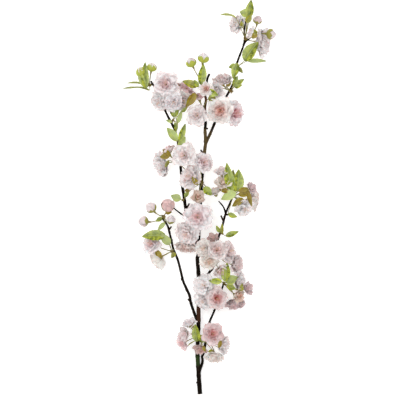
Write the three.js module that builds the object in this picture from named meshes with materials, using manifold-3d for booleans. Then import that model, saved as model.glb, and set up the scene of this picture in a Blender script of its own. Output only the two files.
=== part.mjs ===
// Cherry blossom sprig: one cut branch of a double cherry, lying on its side.
// Millimetres. +Y runs up the branch from its cut end, +X to its right, +Z away from the surface
// that it lies on. The origin is under the middle of the sprig's box, on that surface.
import * as THREE from 'three';
import { mergeVertices } from 'three/addons/utils/BufferGeometryUtils.js';
import Module from 'manifold-3d';

const wasm = await Module();
wasm.setup();

// ---------------------------------------------------------------- driving dimensions

const GRID = 1.8; // the layout below counts its first two numbers in squares of this size
const GAP = 0.3; // between parts that touch
const PETAL = 0.7; // thickness of a petal
const LEAF = 0.7; // thickness of a leaf
const STALK = 0.85; // radius of a flower stalk
const PETIOLE = 0.7; // radius of a leaf stalk
const COLLAR = 2.6; // radius of the knob of bud scales at the end of a spur
const MERGE = 1e-4; // points nearer than this are one point
const SLIVER = 0.2; // finer steps than this in a surface are what joins leave, and are cleaned off
const FAR = 1600; // larger than the whole sprig

const BARK = { color: 0x3b2a24, roughness: 0.85 };
const GREEN = { color: 0x9db552, roughness: 0.6 };
const PINK = { color: 0xf6dbe0, roughness: 0.7 };

// ---------------------------------------------------------------- layout
// Every place is [across, up, height]: grid squares to the right of the cut end, grid squares up
// the branch from it, and millimetres above the surface.

// The woody parts: radii at both ends in mm, then the places that the wood runs through.
const WOOD = {
  stem: {
    radii: [3.7, 2.2],
    through: [
      [0, 0, 3.6], [-1, 14, 6], [-2, 30, 9.5], [-2.5, 45, 14], [-1.5, 72, 23], [-1.5, 92, 29],
      [-1.5, 119, 36], [-2.6, 137, 39], [-0.5, 141, 40], [-1.5, 156, 43], [0, 182, 46],
      [1, 207, 48], [2.5, 222, 49], [4.5, 242, 50], [6, 254, 50],
    ],
  },
  middle_arm: {
    radii: [1.9, 1.1],
    through: [
      [5.8, 252, 50], [5, 264, 53], [5.5, 271, 55], [5, 287, 56], [6, 294, 57], [5, 300, 57],
      [6.5, 310, 56], [7.5, 316, 55], [9.5, 320, 54],
    ],
  },
  right_arm: {
    radii: [2, 1],
    through: [
      [5.8, 252, 50], [10, 260, 50], [15, 272, 49], [21, 285, 47], [26, 297, 46], [31, 306, 45],
      [35, 315, 46], [34, 319, 46], [36, 328, 46], [39, 337, 46], [41, 342, 46], [43.5, 349, 46],
      [45, 357, 46], [44, 361, 46], [45.5, 373, 48],
    ],
  },
  left_arm: {
    radii: [2.5, 1.1],
    through: [
      [-1.5, 150, 42], [-10, 160, 44], [-14, 184, 47], [-16.5, 201, 49], [-17.5, 207, 50],
      [-19, 224, 51], [-21, 244, 51], [-22.5, 254, 50], [-25, 264, 49], [-30, 274, 48],
      [-34.5, 283, 46], [-40, 297, 43], [-49, 313, 40],
    ],
  },
  left_twig: {
    radii: [2, 1.2],
    through: [
      [-1.8, 73, 23], [-4.5, 78, 24], [-9, 91, 27], [-10.5, 99, 29], [-15, 109, 32],
      [-17, 114, 34], [-22, 134, 38], [-26.5, 145, 40], [-28.5, 154, 41], [-30, 160, 42],
      [-32.5, 169, 42], [-38, 176.5, 42],
    ],
  },
  right_twig: {
    radii: [2, 1.2],
    through: [
      [-1.4, 102, 32], [8.5, 121, 38], [13, 128, 40], [17, 152, 46], [21, 164, 49],
      [23.5, 173, 50], [26, 182, 50], [32, 196, 49],
    ],
  },
  low_twig: {
    radii: [1.8, 1.1],
    through: [
      [-1, 22, 8], [2.5, 32, 11], [2, 38, 13], [4, 42, 15], [8, 67.5, 24], [15, 85.5, 30],
      [22, 106, 36], [23.5, 111, 38],
    ],
  },
  side_twig: {
    radii: [1.2, 0.9],
    through: [[43.2, 349, 46], [45.5, 352.5, 46], [50, 356, 45]],
  },
};

// Short woody spurs with nothing on them, from the wood outwards.
const BARE_SPURS = [
  [[-1, 11, 5], [-3.8, 11.5, 6]],
  [[-1.5, 153, 42], [-6.5, 150, 44]],
  [[3.5, 240, 49], [0.6, 244.5, 51]],
  [[5.2, 266, 53], [8, 265.4, 54]],
  [[5.6, 271, 55], [3.6, 270.5, 56]],
  [[-14, 185, 47], [-10.6, 191, 49]],
  [[-31.5, 164, 42], [-28.4, 168, 43]],
  [[25.4, 180, 50], [28.4, 179.6, 51]],
];

// One entry for each spur that bears something.
// spur: where it leaves the wood, then where its knob of bud scales sits.
// blooms: place, direction that it faces in degrees (0 right, 90 up the branch), tilt from straight
// up, width in mm, and how open it is from 0 to 1. One opened less than HALF_OPEN stays with its
// spray. buds: place, direction, tilt, width. leaves: place of the foot and of the tip, width in mm.
const HALF_OPEN = 0.62;
const FLAT = 0.95; // one opened further has no belly below its outer petals
const SPRAYS = {
  right_arm_tip: {
    spur: [[44, 353, 46], [45, 355, 52]],
    blooms: [
      [36.5, 371, 42, 155, 48, 38, 0.75],
      [49, 361, 66, 60, 20, 30, 0.6],
      [62.5, 352, 22.6, -5, 68, 52, 0.85],
    ],
    buds: [[57, 374, 50, 80, 70, 17], [71, 360, 40, -5, 80, 18]],
    leaves: [
      [47, 373, 56, 52, 393, 60, 17], [47, 366, 60, 51, 379, 66, 9], [36, 376, 54, 20, 379.5, 52, 9],
    ],
  },
  right_arm_high: {
    spur: [[36.5, 329, 46], [38, 328, 51]],
    blooms: [],
    buds: [],
    leaves: [
      [44, 333, 54, 57, 350, 56, 20], [47, 333, 50, 66, 333, 47, 10], [36, 329, 54, 28.5, 327, 54, 7],
      [36.5, 325, 54, 34, 316, 56, 9],
    ],
  },
  right_arm_mid: {
    spur: [[30.5, 305, 45], [31, 303, 50]],
    blooms: [
      [23, 315, 42, 95, 64, 37, 0.65],
      [16, 304, 58, 215, 35, 30, 0.55],
    ],
    buds: [],
    leaves: [
      [33.5, 307, 52, 44, 315, 53, 8], [33, 309, 53, 37.5, 318, 57, 7], [34, 307, 54, 42, 309, 60, 7],
    ],
  },
  middle_arm_tip: {
    spur: [[6.3, 309, 56], [5, 307, 60]],
    blooms: [[6, 305, 75, 100, 18, 34, 0.85]],
    buds: [[-8.5, 331, 58, 115, 75, 21], [3.5, 336, 60, 80, 75, 19]],
    leaves: [
      [1, 309, 62, 3.5, 330, 66, 15], [-3, 308, 62, -17, 313, 60, 15], [-1.5, 307, 64, -6, 314, 68, 8],
      [8, 306, 74, 19, 300, 73, 13],
    ],
  },
  middle_arm_mid: {
    spur: [[5, 288, 56], [3, 287, 60]],
    blooms: [[-3, 279, 76, 100, 14, 43, 1]],
    buds: [],
    leaves: [[-3, 288, 63, -9, 300, 61, 17], [8, 292, 64, 14, 300, 66, 12]],
  },
  right_arm_low: {
    spur: [[21, 285, 47], [23, 286, 52]],
    blooms: [
      [20, 283, 72, 240, 10, 51, 1],
      [36.5, 281, 46, 0, 50, 49, 0.95],
    ],
    buds: [],
    leaves: [],
  },
  left_arm_top: {
    spur: [[-37, 290, 45], [-34, 296, 50]],
    blooms: [
      [-34.5, 310, 72, 130, 14, 50, 1],
      [-41, 292, 52, 215, 36, 42, 1],
      [-26, 291, 70, -80, 22, 38, 0.95],
      [-15, 305, 16.6, 60, 112, 42, 0.9],
      [-15, 290, 54, -30, 42, 33, 0.8],
    ],
    buds: [],
    leaves: [],
  },
  left_arm_tip: {
    spur: [[-47.5, 310.5, 40.5], [-50.5, 309, 44]],
    blooms: [],
    buds: [[-59, 323, 46, 120, 70, 20], [-47, 327, 48, 80, 75, 17]],
    leaves: [
      [-53, 308, 48, -54, 332, 50, 12], [-56, 309, 45, -70, 311, 42, 6], [-58, 306, 43, -75.5, 304, 38, 6],
      [-50, 312, 48, -46, 322, 50, 8],
    ],
  },
  left_arm_high: {
    spur: [[-28.5, 271, 48], [-27, 274, 52]],
    blooms: [],
    buds: [],
    leaves: [
      [-26, 276, 54, -31, 285, 58, 8], [-25, 277, 55, -20.5, 287, 58, 9], [-27.5, 272, 55, -35, 274, 55, 7],
      [-24, 275, 54, -15.5, 281, 54, 8], [-25, 272, 53, -24, 262, 50, 6],
    ],
  },
  left_arm_mid: {
    spur: [[-22, 250, 50.5], [-20.5, 250, 55]],
    blooms: [],
    buds: [],
    leaves: [
      [-20, 253, 56, -14, 269, 60, 12], [-22.5, 252, 56, -35, 259, 54, 16], [-19, 247, 57, -14, 256, 60, 9],
    ],
  },
  left_arm_low: {
    spur: [[-20, 232, 51], [-21, 231, 56]],
    blooms: [
      [-35, 246, 54, 140, 58, 29, 0.5],
      [-38.5, 230, 21.6, 195, 66, 49, 0.9],
      [-17, 239, 80, 170, 22, 48, 1],
      [-11, 217, 76, 150, 40, 49, 0.9],
    ],
    buds: [],
    leaves: [],
  },
  left_arm_leaf: {
    spur: [[-15.4, 193, 48.3], [-17, 194, 53]],
    blooms: [],
    buds: [],
    leaves: [[-19, 195, 56, -29, 199, 58, 14], [-15, 197, 57, -11, 204, 58, 7]],
  },
  stem_high: {
    spur: [[1.2, 209, 48], [2, 212, 54]],
    blooms: [
      [4.5, 233, 74, 20, 26, 40, 0.9],
      [-2, 197, 70, 60, 50, 32, 0.5],
      [15, 203.4, 57, 110, 66, 28, 0.55],
    ],
    buds: [],
    leaves: [[3.5, 207, 62, 12, 199, 64, 14]],
  },
  stem_middle: {
    spur: [[-9, 162, 44], [-8, 166, 50]],
    blooms: [
      [-2.5, 177, 84, 90, 8, 56, 1],
      [-12, 160, 70, 235, 26, 53, 1],
      [-14.5, 148, 40, -100, 66, 42, 0.9],
    ],
    buds: [],
    leaves: [],
  },
  left_twig_tip: {
    spur: [[-36, 175.5, 42], [-36.5, 178, 46]],
    blooms: [[-32, 190, 54, 95, 58, 31, 0.4]],
    buds: [[-49, 187, 50, 130, 70, 24], [-56.5, 173, 44, 175, 75, 20], [-28, 174, 56, 80, 40, 20]],
    leaves: [[-38, 177, 50, -44, 173, 52, 8], [-35, 172, 50, -42, 164, 50, 8]],
  },
  left_twig_mid: {
    spur: [[-26, 144, 40], [-28, 143, 45]],
    blooms: [
      [-49, 151, 50, 150, 32, 39, 0.9],
      [-42, 135, 14.2, 215, 118, 40, 0.9],
    ],
    buds: [],
    leaves: [
      [-34, 159, 56, -58, 158, 54, 20], [-30, 150, 54, -39, 161, 58, 15], [-27, 138, 48, -22, 133, 50, 6],
    ],
  },
  right_twig_tip: {
    spur: [[31.5, 195, 49], [33, 198, 54]],
    blooms: [
      [22, 217, 62, 98, 50, 37, 0.55],
      [52, 207, 58, 30, 55, 24, 0.6],
      [52, 194, 19.5, -5, 68, 46, 0.85],
      [45, 185.5, 54, -60, 45, 38, 0.9],
    ],
    buds: [],
    leaves: [
      [34.5, 206, 60, 26, 231, 66, 15], [37, 204, 60, 39, 222, 64, 18], [30, 199, 60, 20.5, 192, 58, 16],
      [30, 184, 58, 38, 176, 56, 12],
    ],
  },
  right_twig_mid: {
    spur: [[20.5, 163, 49], [22, 161, 54]],
    blooms: [],
    buds: [],
    leaves: [
      [25, 161, 58, 38.5, 162, 60, 12], [20, 162, 57, 16, 170, 58, 7], [24, 166, 56, 21.5, 179, 58, 8],
    ],
  },
  right_twig_low: {
    spur: [[15.5, 142, 44], [17, 140, 50]],
    blooms: [
      [3, 147, 68, 200, 22, 42, 0.95],
      [17, 145, 84, 60, 14, 42, 0.9],
      [29.5, 143, 56, 10, 48, 42, 0.9],
      [10, 131.5, 72, -70, 28, 41, 0.95],
      [37, 130, 36, 0, 60, 38, 0.85],
      [20, 123, 64, -40, 40, 31, 0.6],
    ],
    buds: [[13, 157, 74, 110, 45, 21]],
    leaves: [],
  },
  low_twig_tip: {
    spur: [[23, 109.5, 37.4], [24, 111, 43]],
    blooms: [
      [39.5, 112, 15.4, -5, 66, 38, 0.85],
      [35, 91, 16.4, -85, 66, 40, 0.9],
    ],
    buds: [[39, 99, 48, -20, 60, 23], [48, 106, 42, 60, 65, 21]],
    leaves: [
      [24, 115, 50, 29, 130, 52, 12], [20, 113, 50, 9, 111, 52, 11], [26, 112, 52, 38, 120, 54, 19],
      [26, 109, 50, 35, 104, 52, 12],
    ],
  },
  stem_mid: {
    spur: [[-1.5, 101, 31], [1, 102, 38]],
    blooms: [
      [3.5, 110, 58, 140, 24, 46, 1],
      [17, 96.5, 66, -30, 14, 44, 1],
      [3, 93.5, 48, 225, 34, 41, 0.95],
    ],
    buds: [],
    leaves: [],
  },
  stem_low: {
    spur: [[-1.8, 58, 18.5], [-1, 59, 25]],
    blooms: [
      [-11, 72, 40, 130, 56, 32, 0.5],
      [-16, 61, 40, 180, 45, 28, 0.6],
      [-18, 51, 26, 205, 56, 30, 0.6],
      [13, 62, 52, 30, 12, 45, 1],
      [23.5, 49, 28, -5, 60, 37, 0.85],
      [14, 38, 26, -90, 60, 36, 0.9],
      [0, 45, 40, -105, 50, 27, 0.5],
    ],
    buds: [],
    leaves: [
      [-3, 61, 32, -6, 73, 38, 15], [-4, 55, 31, -15, 45, 30, 6], [1, 56, 35, 5, 48, 42, 10],
    ],
  },
};

// ---------------------------------------------------------------- solids

/** A closed mesh as a solid. Triangles that a pole folds to a line are left out. */
function solid(geometry) {
  const bare = geometry.clone();
  bare.deleteAttribute('normal');
  bare.deleteAttribute('uv');
  const merged = mergeVertices(bare, MERGE);
  const corners = merged.index.array;
  const triVerts = [];
  for (let i = 0; i < corners.length; i += 3) {
    const [a, b, c] = corners.slice(i, i + 3);
    if (a !== b && b !== c && c !== a) triVerts.push(a, b, c);
  }
  const vertProperties = new Float32Array(merged.attributes.position.array);
  return fromArrays(vertProperties, new Uint32Array(triVerts));
}

/** A solid from points and triangles that are already a closed mesh. */
function fromArrays(vertProperties, triVerts) {
  return new wasm.Manifold(new wasm.Mesh({ numProp: 3, vertProperties, triVerts }));
}

/** The outer skin of the largest body of a solid: cut-off scraps go, and closed hollows fill up. */
function mainBody(shape) {
  const { vertProperties, triVerts } = shape.simplify(SLIVER).getMesh();
  const leader = Array.from({ length: vertProperties.length / 3 }, (_, i) => i);
  const find = (i) => {
    let top = i;
    while (leader[top] !== top) top = leader[top];
    leader[i] = top;
    return top;
  };
  for (let i = 0; i < triVerts.length; i += 3) {
    leader[find(triVerts[i + 1])] = find(triVerts[i]);
    leader[find(triVerts[i + 2])] = find(triVerts[i]);
  }
  const skins = new Map();
  for (let i = 0; i < triVerts.length; i += 3) {
    const top = find(triVerts[i]);
    if (!skins.has(top)) skins.set(top, []);
    skins.get(top).push(...triVerts.slice(i, i + 3));
  }
  const bodies = [...skins.values()].map((skin) => fromArrays(vertProperties, new Uint32Array(skin)));
  return bodies.reduce((best, body) => (body.volume() > best.volume() ? body : best));
}

function joined(shapes) {
  return shapes.reduce((whole, shape) => whole.add(shape));
}

function place([across, up, height]) {
  return new THREE.Vector3(across * GRID, up * GRID, height);
}

/** The direction that something faces, from its direction seen from above and its tilt. */
function facing(direction, tilt) {
  const polar = THREE.MathUtils.degToRad(tilt);
  const around = THREE.MathUtils.degToRad(direction);
  return new THREE.Vector3(
    Math.sin(polar) * Math.cos(around),
    Math.sin(polar) * Math.sin(around),
    Math.cos(polar),
  );
}

/** A round bar bent along a curve, with its radius given along the curve from 0 to 1. */
function bar(curve, steps, sides, radiusAt) {
  const frames = curve.computeFrenetFrames(steps);
  const geometry = new THREE.CylinderGeometry(1, 1, 1, sides, steps);
  const points = geometry.attributes.position;
  const point = new THREE.Vector3();
  for (let i = 0; i < points.count; i += 1) {
    const along = points.getY(i) + 0.5;
    const step = Math.round(along * steps);
    const radius = radiusAt(along);
    curve.getPointAt(along, point);
    point.addScaledVector(frames.normals[step], points.getX(i) * radius);
    point.addScaledVector(frames.binormals[step], -points.getZ(i) * radius);
    points.setXYZ(i, point.x, point.y, point.z);
  }
  return solid(geometry);
}

function ball(centre, radius) {
  const geometry = new THREE.IcosahedronGeometry(radius, 0);
  geometry.translate(centre.x, centre.y, centre.z);
  return solid(geometry);
}

/** Everything on the far side of a plane through a point, as a block to take away. */
function beyond(point, normal) {
  const geometry = new THREE.BoxGeometry(FAR, FAR, FAR);
  geometry.translate(0, 0, FAR / 2);
  const turn = new THREE.Quaternion().setFromUnitVectors(new THREE.Vector3(0, 0, 1), normal);
  geometry.applyQuaternion(turn);
  geometry.translate(point.x, point.y, point.z);
  return solid(geometry);
}

// ---------------------------------------------------------------- wood

const WOOD_STEP = 20; // mm between rings of a bar of wood
const THICK = 3; // mm; thicker wood gets more sides
const SIDES = { thick: 7, thin: 4, spur: 3 };
const SPUR = { foot: 1.7, end: 1.25 }; // radii of a short spur in mm
const KNOT = { spacing: 48, rise: 0.12 }; // mm; the slight swellings where leaves once grew

/** The whole bark, or with grow the room that it takes up with its clearance. */
function wood(grow) {
  const bars = Object.values(WOOD).map(({ radii: [start, end], through }) => {
    const curve = new THREE.CatmullRomCurve3(through.map(place));
    const length = curve.getLength();
    const swelling = (along) => KNOT.rise * Math.cos((along * length * 2 * Math.PI) / KNOT.spacing);
    const radiusAt = (along) => THREE.MathUtils.lerp(start, end, along) + swelling(along) + grow;
    const sides = start > THICK ? SIDES.thick : SIDES.thin;
    return bar(curve, Math.round(length / WOOD_STEP), sides, radiusAt);
  });
  const bearing = Object.values(SPRAYS).map(({ spur }) => spur);
  const spurs = [...BARE_SPURS, ...bearing].map(([from, to]) => {
    const curve = new THREE.LineCurve3(place(from), place(to));
    const radiusAt = (along) => THREE.MathUtils.lerp(SPUR.foot, SPUR.end, along) + grow;
    return bar(curve, 1, SIDES.spur, radiusAt);
  });
  return joined([...bars, ...spurs]);
}

// ---------------------------------------------------------------- flowers

const PETALS = 5; // in each layer
const SMALL_BLOOM = 44.5; // mm wide; a smaller one has a petal fewer in each layer
const EDGE_POINTS = 3; // on each petal's edge: the gap beside it and its two shoulders
const NOTCH = [0.76, 1, 0.97]; // how far each of those reaches
const WAVE = [-0.03, 0.07, -0.02]; // how far each of those lifts, in bloom radii
const BUD_PROFILE = [[0, 0], [0.66, 0.36], [0.98, 1.15], [0.4, 1.95], [0, 2.15]]; // in bud radii
const BUD_DEPTH = 2.15; // in bud radii
const CREASE = 0.86; // how far the gaps between a bud's petals reach
const TURN = 2.4; // radians that each flower is turned further round than the last

/** The height of a bloom above its foot, in bloom radii. */
function bloomHeight(open) {
  return 0.66 + 0.6 * (1 - open);
}

/** The petals of a bloom in its own frame: its foot at the origin, facing +Y. */
function petals(across, open, grow) {
  const radius = across / 2 + grow;
  const cup = 1 - open;
  const skin = PETAL / 2 / radius + grow / radius;
  const layers = [
    { reach: 1, height: 0.16 + 0.95 * cup, groove: [0.5, 0.2 + 0.5 * cup] },
    { reach: 0.75, height: 0.45 + 0.75 * cup, groove: [0.26, 0.4 + 0.4 * cup] },
    { reach: 0.45, height: bloomHeight(open), groove: [0, 0.48 + 0.5 * cup] },
  ];
  if (open < HALF_OPEN) layers.splice(1, 1);
  const rings = [{ at: [0, 0] }, { at: [0.16, 0] }];
  if (open > HALF_OPEN && open < FLAT) rings.push({ at: [0.6, 0.03 + 0.4 * cup] });
  layers.forEach(({ reach, height, groove }, layer) => {
    rings.push({ at: [reach, height - skin], edge: layer });
    if (layer === 0) rings.push({ at: [reach - skin, height + skin], edge: layer });
    rings.push({ at: groove });
  });
  const profile = rings.map(({ at: [r, h] }) => new THREE.Vector2(r * radius, h * radius));
  const segments = (across < SMALL_BLOOM ? PETALS - 1 : PETALS) * EDGE_POINTS;
  const geometry = new THREE.LatheGeometry(profile, segments);
  const points = geometry.attributes.position;
  for (let i = 0; i < points.count; i += 1) {
    const { edge } = rings[i % rings.length];
    if (edge === undefined) continue;
    const turn = Math.floor(i / rings.length) % segments;
    const spot = (turn + edge) % EDGE_POINTS;
    points.setX(i, points.getX(i) * NOTCH[spot]);
    points.setZ(i, points.getZ(i) * NOTCH[spot]);
    points.setY(i, points.getY(i) + WAVE[spot] * radius);
  }
  return geometry;
}

/** A closed bud in its own frame: an egg with five petals wrapped round it. */
function budPetals(across, grow) {
  const radius = across / 2 + grow;
  const rings = BUD_PROFILE.map(([r, h]) => new THREE.Vector2(r * radius, h * radius));
  const segments = (PETALS - 1) * 2;
  const geometry = new THREE.LatheGeometry(rings, segments);
  const points = geometry.attributes.position;
  for (let i = 0; i < points.count; i += 1) {
    const turn = Math.floor(i / rings.length);
    const reach = turn % 2 ? CREASE : 1;
    points.setX(i, points.getX(i) * reach);
    points.setZ(i, points.getZ(i) * reach);
  }
  return geometry;
}

/** Turns a flower from its own frame to where it grows. Each is spun a little differently. */
function grown(geometry, foot, direction, spin) {
  const upright = new THREE.Vector3(0, 1, 0);
  geometry.rotateY(spin);
  geometry.applyQuaternion(new THREE.Quaternion().setFromUnitVectors(upright, direction));
  geometry.translate(foot.x, foot.y, foot.z);
  return solid(geometry);
}

/** Every flower and bud, with where its foot sits and the room round its middle. */
function listFlowers() {
  const flowers = [];
  Object.entries(SPRAYS).forEach(([spray, { blooms, buds }]) => {
    blooms.forEach(([across, up, height, direction, tilt, width, open], index) => {
      const name = open < HALF_OPEN ? null : `bloom_${spray}_${index + 1}`;
      const depth = (bloomHeight(open) * width) / 2;
      flowers.push({ spray, name, middle: [across, up, height], direction, tilt, width, open, depth });
    });
    buds.forEach(([across, up, height, direction, tilt, width]) => {
      const depth = (BUD_DEPTH * width) / 2;
      flowers.push({ spray, name: null, middle: [across, up, height], direction, tilt, width, depth });
    });
  });
  flowers.forEach((flower, index) => {
    flower.middle = place(flower.middle);
    flower.faces = facing(flower.direction, flower.tilt);
    flower.foot = flower.middle.clone().addScaledVector(flower.faces, -flower.depth / 2);
    flower.spin = index * TURN;
  });
  return flowers;
}

function head({ width, open, foot, faces, spin }, grow) {
  const geometry = open === undefined ? budPetals(width, grow) : petals(width, open, grow);
  const start = foot.clone().addScaledVector(faces, -grow);
  return grown(geometry, start, faces, spin);
}

/** Cuts flowers that would cross back to a plane between them. */
function partFlowers(flowers) {
  const shapes = flowers.map((flower) => head(flower, 0));
  const roomy = flowers.map((flower) => head(flower, GAP));
  for (let i = 0; i < flowers.length; i += 1) {
    for (let j = i + 1; j < flowers.length; j += 1) {
      const [one, other] = [flowers[i], flowers[j]];
      const apart = other.middle.clone().sub(one.middle);
      const near = apart.length() < (one.width + other.width) / 2 + one.depth / 2;
      if (!near || roomy[i].intersect(roomy[j]).isEmpty()) continue;
      const share = one.width / (one.width + other.width);
      const between = one.middle.clone().addScaledVector(apart, share);
      const towards = apart.normalize();
      const nearSide = between.clone().addScaledVector(towards, -GAP / 2);
      const farSide = between.clone().addScaledVector(towards, GAP / 2);
      shapes[i] = mainBody(shapes[i].subtract(beyond(nearSide, towards)));
      shapes[j] = mainBody(shapes[j].subtract(beyond(farSide, towards.clone().negate())));
    }
  }
  return shapes;
}

// ---------------------------------------------------------------- leaves and stalks

const LARGE_LEAF = 9; // mm wide; a wider leaf gets more teeth
const LEAF_ROWS = { large: [0, 0.25, 0.5, 0.76, 1], small: [0, 0.34, 0.7, 1] };
const TOOTH = 0.84; // how far the gaps between teeth reach
const ARCH = 0.07; // how far the middle of a leaf lifts, of its length
const FOLD = 0.32; // how far a leaf's edges lift, of its half width

/**
 * A leaf on its stalk, with toothed edges, folded along its midrib and arched from foot to tip.
 * The first row of points is at the knob, the next at the blade's foot.
 */
function leaf(root, from, to, width, grow) {
  const axis = to.clone().sub(from);
  const length = axis.length();
  axis.normalize();
  const side = new THREE.Vector3().crossVectors(axis, new THREE.Vector3(0, 0, 1)).normalize();
  const normal = new THREE.Vector3().crossVectors(side, axis);
  const fractions = width > LARGE_LEAF ? LEAF_ROWS.large : LEAF_ROWS.small;
  const across = width > LARGE_LEAF ? [-1, 0, 1] : [-1, 1];
  const tip = fractions.length - 1;
  const rows = [{ centre: leaving(root, from), reach: PETIOLE, lift: 0 }];
  fractions.forEach((s, row) => {
    const along = s * length + (row === tip ? grow : 0);
    const outline = (width / 2) * Math.sin(Math.PI * s ** 0.8) ** 0.8 * (row % 2 ? 1 : TOOTH);
    rows.push({
      centre: from.clone().addScaledVector(axis, along),
      reach: row === 0 || row === tip ? PETIOLE : outline,
      lift: ARCH * length * Math.sin(Math.PI * s),
    });
  });
  const upper = [];
  const lower = [];
  const thick = LEAF / 2 + grow;
  rows.forEach(({ centre, reach, lift }) => {
    across.forEach((edge) => {
      const raised = lift + FOLD * reach * Math.abs(edge);
      const middle = centre.clone().addScaledVector(side, edge * (reach + grow));
      upper.push(middle.clone().addScaledVector(normal, raised + thick));
      lower.push(middle.clone().addScaledVector(normal, raised - thick));
    });
  });
  const triangles = [];
  const columns = across.length;
  const last = rows.length - 1;
  const flip = upper.length;
  for (let row = 0; row < last; row += 1) {
    for (let column = 0; column < columns - 1; column += 1) {
      const a = row * columns + column;
      const [b, c, d] = [a + 1, a + columns + 1, a + columns];
      const pair = column ? [[a, b, c], [a, c, d]] : [[a, b, d], [b, c, d]];
      pair.forEach(([p, q, r]) => triangles.push(p, q, r, p + flip, r + flip, q + flip));
    }
    const left = row * columns;
    const right = left + columns - 1;
    triangles.push(left, left + columns, left + flip, left + columns, left + columns + flip, left + flip);
    triangles.push(right, right + flip, right + columns, right + flip, right + columns + flip);
    triangles.push(right + columns);
  }
  for (let column = 0; column < columns - 1; column += 1) {
    const end = last * columns + column;
    triangles.push(column, column + flip, column + 1);
    triangles.push(column + flip, column + 1 + flip, column + 1);
    triangles.push(end, end + 1, end + flip, end + 1, end + 1 + flip, end + flip);
  }
  const geometry = new THREE.BufferGeometry();
  geometry.setFromPoints([...upper, ...lower]);
  geometry.setIndex(triangles);
  return solid(geometry);
}

const HELD_DEPTH = 1.6; // how far a bud or half-open flower sits in its calyx
const ROOTED = 0.7; // how far out in its knob a stalk starts, of the knob's radius
const LAST_STRAIGHT = 0.45; // how much of a stalk runs straight up to its flower
const CALYX = { share: 0.16, most: 4.2 }; // its radius, of the flower's width, and at most in mm

/** Where something that heads for a point leaves the knob at a root. */
function leaving(root, target) {
  const way = target.clone().sub(root).normalize();
  return root.clone().addScaledVector(way, COLLAR * ROOTED);
}

/** A flower's stalk, from its knob to the calyx that it widens into under the flower. */
function stalk(root, { name, foot, faces, width }, grow) {
  const end = foot.clone().addScaledVector(faces, name ? -GAP : HELD_DEPTH);
  const bend = end.clone().addScaledVector(faces, -LAST_STRAIGHT * end.distanceTo(root));
  const curve = new THREE.QuadraticBezierCurve3(leaving(root, bend), bend, end);
  const calyx = Math.min(CALYX.share * width, CALYX.most);
  return bar(curve, 2, 4, (along) => (along < 1 ? STALK : calyx) + grow);
}

/** The knob, stalks and leaves of a spray. */
function greenery({ spur, leaves }, flowers, grow) {
  const root = place(spur[1]);
  const parts = [ball(root, COLLAR + grow)];
  flowers.forEach((flower) => parts.push(stalk(root, flower, grow)));
  leaves.forEach(([a, b, c, d, e, f, width]) => {
    parts.push(leaf(root, place([a, b, c]), place([d, e, f]), width, grow));
  });
  return joined(parts);
}

// ---------------------------------------------------------------- the sprig

/** A solid as a named mesh. */
function part(name, shape, { color, roughness }) {
  const { vertProperties, triVerts } = shape.getMesh();
  const geometry = new THREE.BufferGeometry();
  geometry.setAttribute('position', new THREE.BufferAttribute(new Float32Array(vertProperties), 3));
  geometry.setIndex(new THREE.BufferAttribute(new Uint32Array(triVerts), 1));
  geometry.computeVertexNormals();
  const material = new THREE.MeshStandardMaterial({ color, roughness, metalness: 0, flatShading: true });
  const mesh = new THREE.Mesh(geometry, material);
  mesh.name = name;
  return mesh;
}

function makeSprig() {
  const sprig = new THREE.Group();
  sprig.name = 'cherry_blossom_sprig';
  const underside = beyond(new THREE.Vector3(0, 0, 0), new THREE.Vector3(0, 0, -1));
  const flowers = listFlowers();
  const heads = partFlowers(flowers);
  const woodRoom = wood(GAP);
  sprig.add(part('bark', mainBody(wood(0).subtract(underside)), BARK));

  const taken = [];
  Object.entries(SPRAYS).forEach(([name, spray]) => {
    const own = flowers.filter((flower) => flower.spray === name);
    const held = heads.filter((_, i) => flowers[i].spray === name && !flowers[i].name);
    let green = joined([greenery(spray, own, 0), ...held]).subtract(woodRoom).subtract(underside);
    taken.forEach((room) => {
      green = green.subtract(room);
    });
    sprig.add(part(`spray_${name}`, mainBody(green), GREEN));
    const heldRoom = own.filter((flower) => !flower.name).map((flower) => head(flower, GAP));
    taken.push(joined([greenery(spray, own, GAP), ...heldRoom]));
  });

  flowers.forEach((flower, index) => {
    if (!flower.name) return;
    let bloom = heads[index].subtract(woodRoom).subtract(underside);
    taken.forEach((room) => {
      bloom = bloom.subtract(room);
    });
    sprig.add(part(flower.name, mainBody(bloom), PINK));
  });

  const box = new THREE.Box3().setFromObject(sprig);
  const middle = box.getCenter(new THREE.Vector3());
  sprig.position.set(-middle.x, -middle.y, -box.min.z);
  return sprig;
}

export default makeSprig();
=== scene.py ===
"""Cherry blossom sprig: bark, stalks, leaves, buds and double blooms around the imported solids."""

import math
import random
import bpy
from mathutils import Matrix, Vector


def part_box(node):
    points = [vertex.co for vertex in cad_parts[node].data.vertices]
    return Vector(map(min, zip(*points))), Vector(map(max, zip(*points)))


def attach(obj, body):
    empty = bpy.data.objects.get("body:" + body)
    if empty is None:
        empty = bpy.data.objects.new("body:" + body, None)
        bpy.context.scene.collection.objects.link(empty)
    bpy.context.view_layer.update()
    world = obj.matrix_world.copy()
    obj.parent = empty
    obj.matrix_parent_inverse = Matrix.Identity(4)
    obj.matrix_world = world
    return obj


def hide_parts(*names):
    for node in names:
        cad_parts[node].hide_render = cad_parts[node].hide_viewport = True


bl_info = {
    "name": "Cherry Blossom Sprig",
    "version": (1, 0, 0),
    "blender": (4, 5, 0),
    "location": "View3D > Sidebar > Sprig",
    "description": "Models a cut branch of double cherry in flower, lying on a pale surface",
    "category": "Add Mesh",
}

from collections import namedtuple
from itertools import pairwise
from types import SimpleNamespace

import bmesh
import bpy
from bpy.props import FloatProperty, FloatVectorProperty, IntProperty, PointerProperty
from mathutils import Matrix, Vector, noise
from mathutils.geometry import interpolate_bezier

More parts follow.
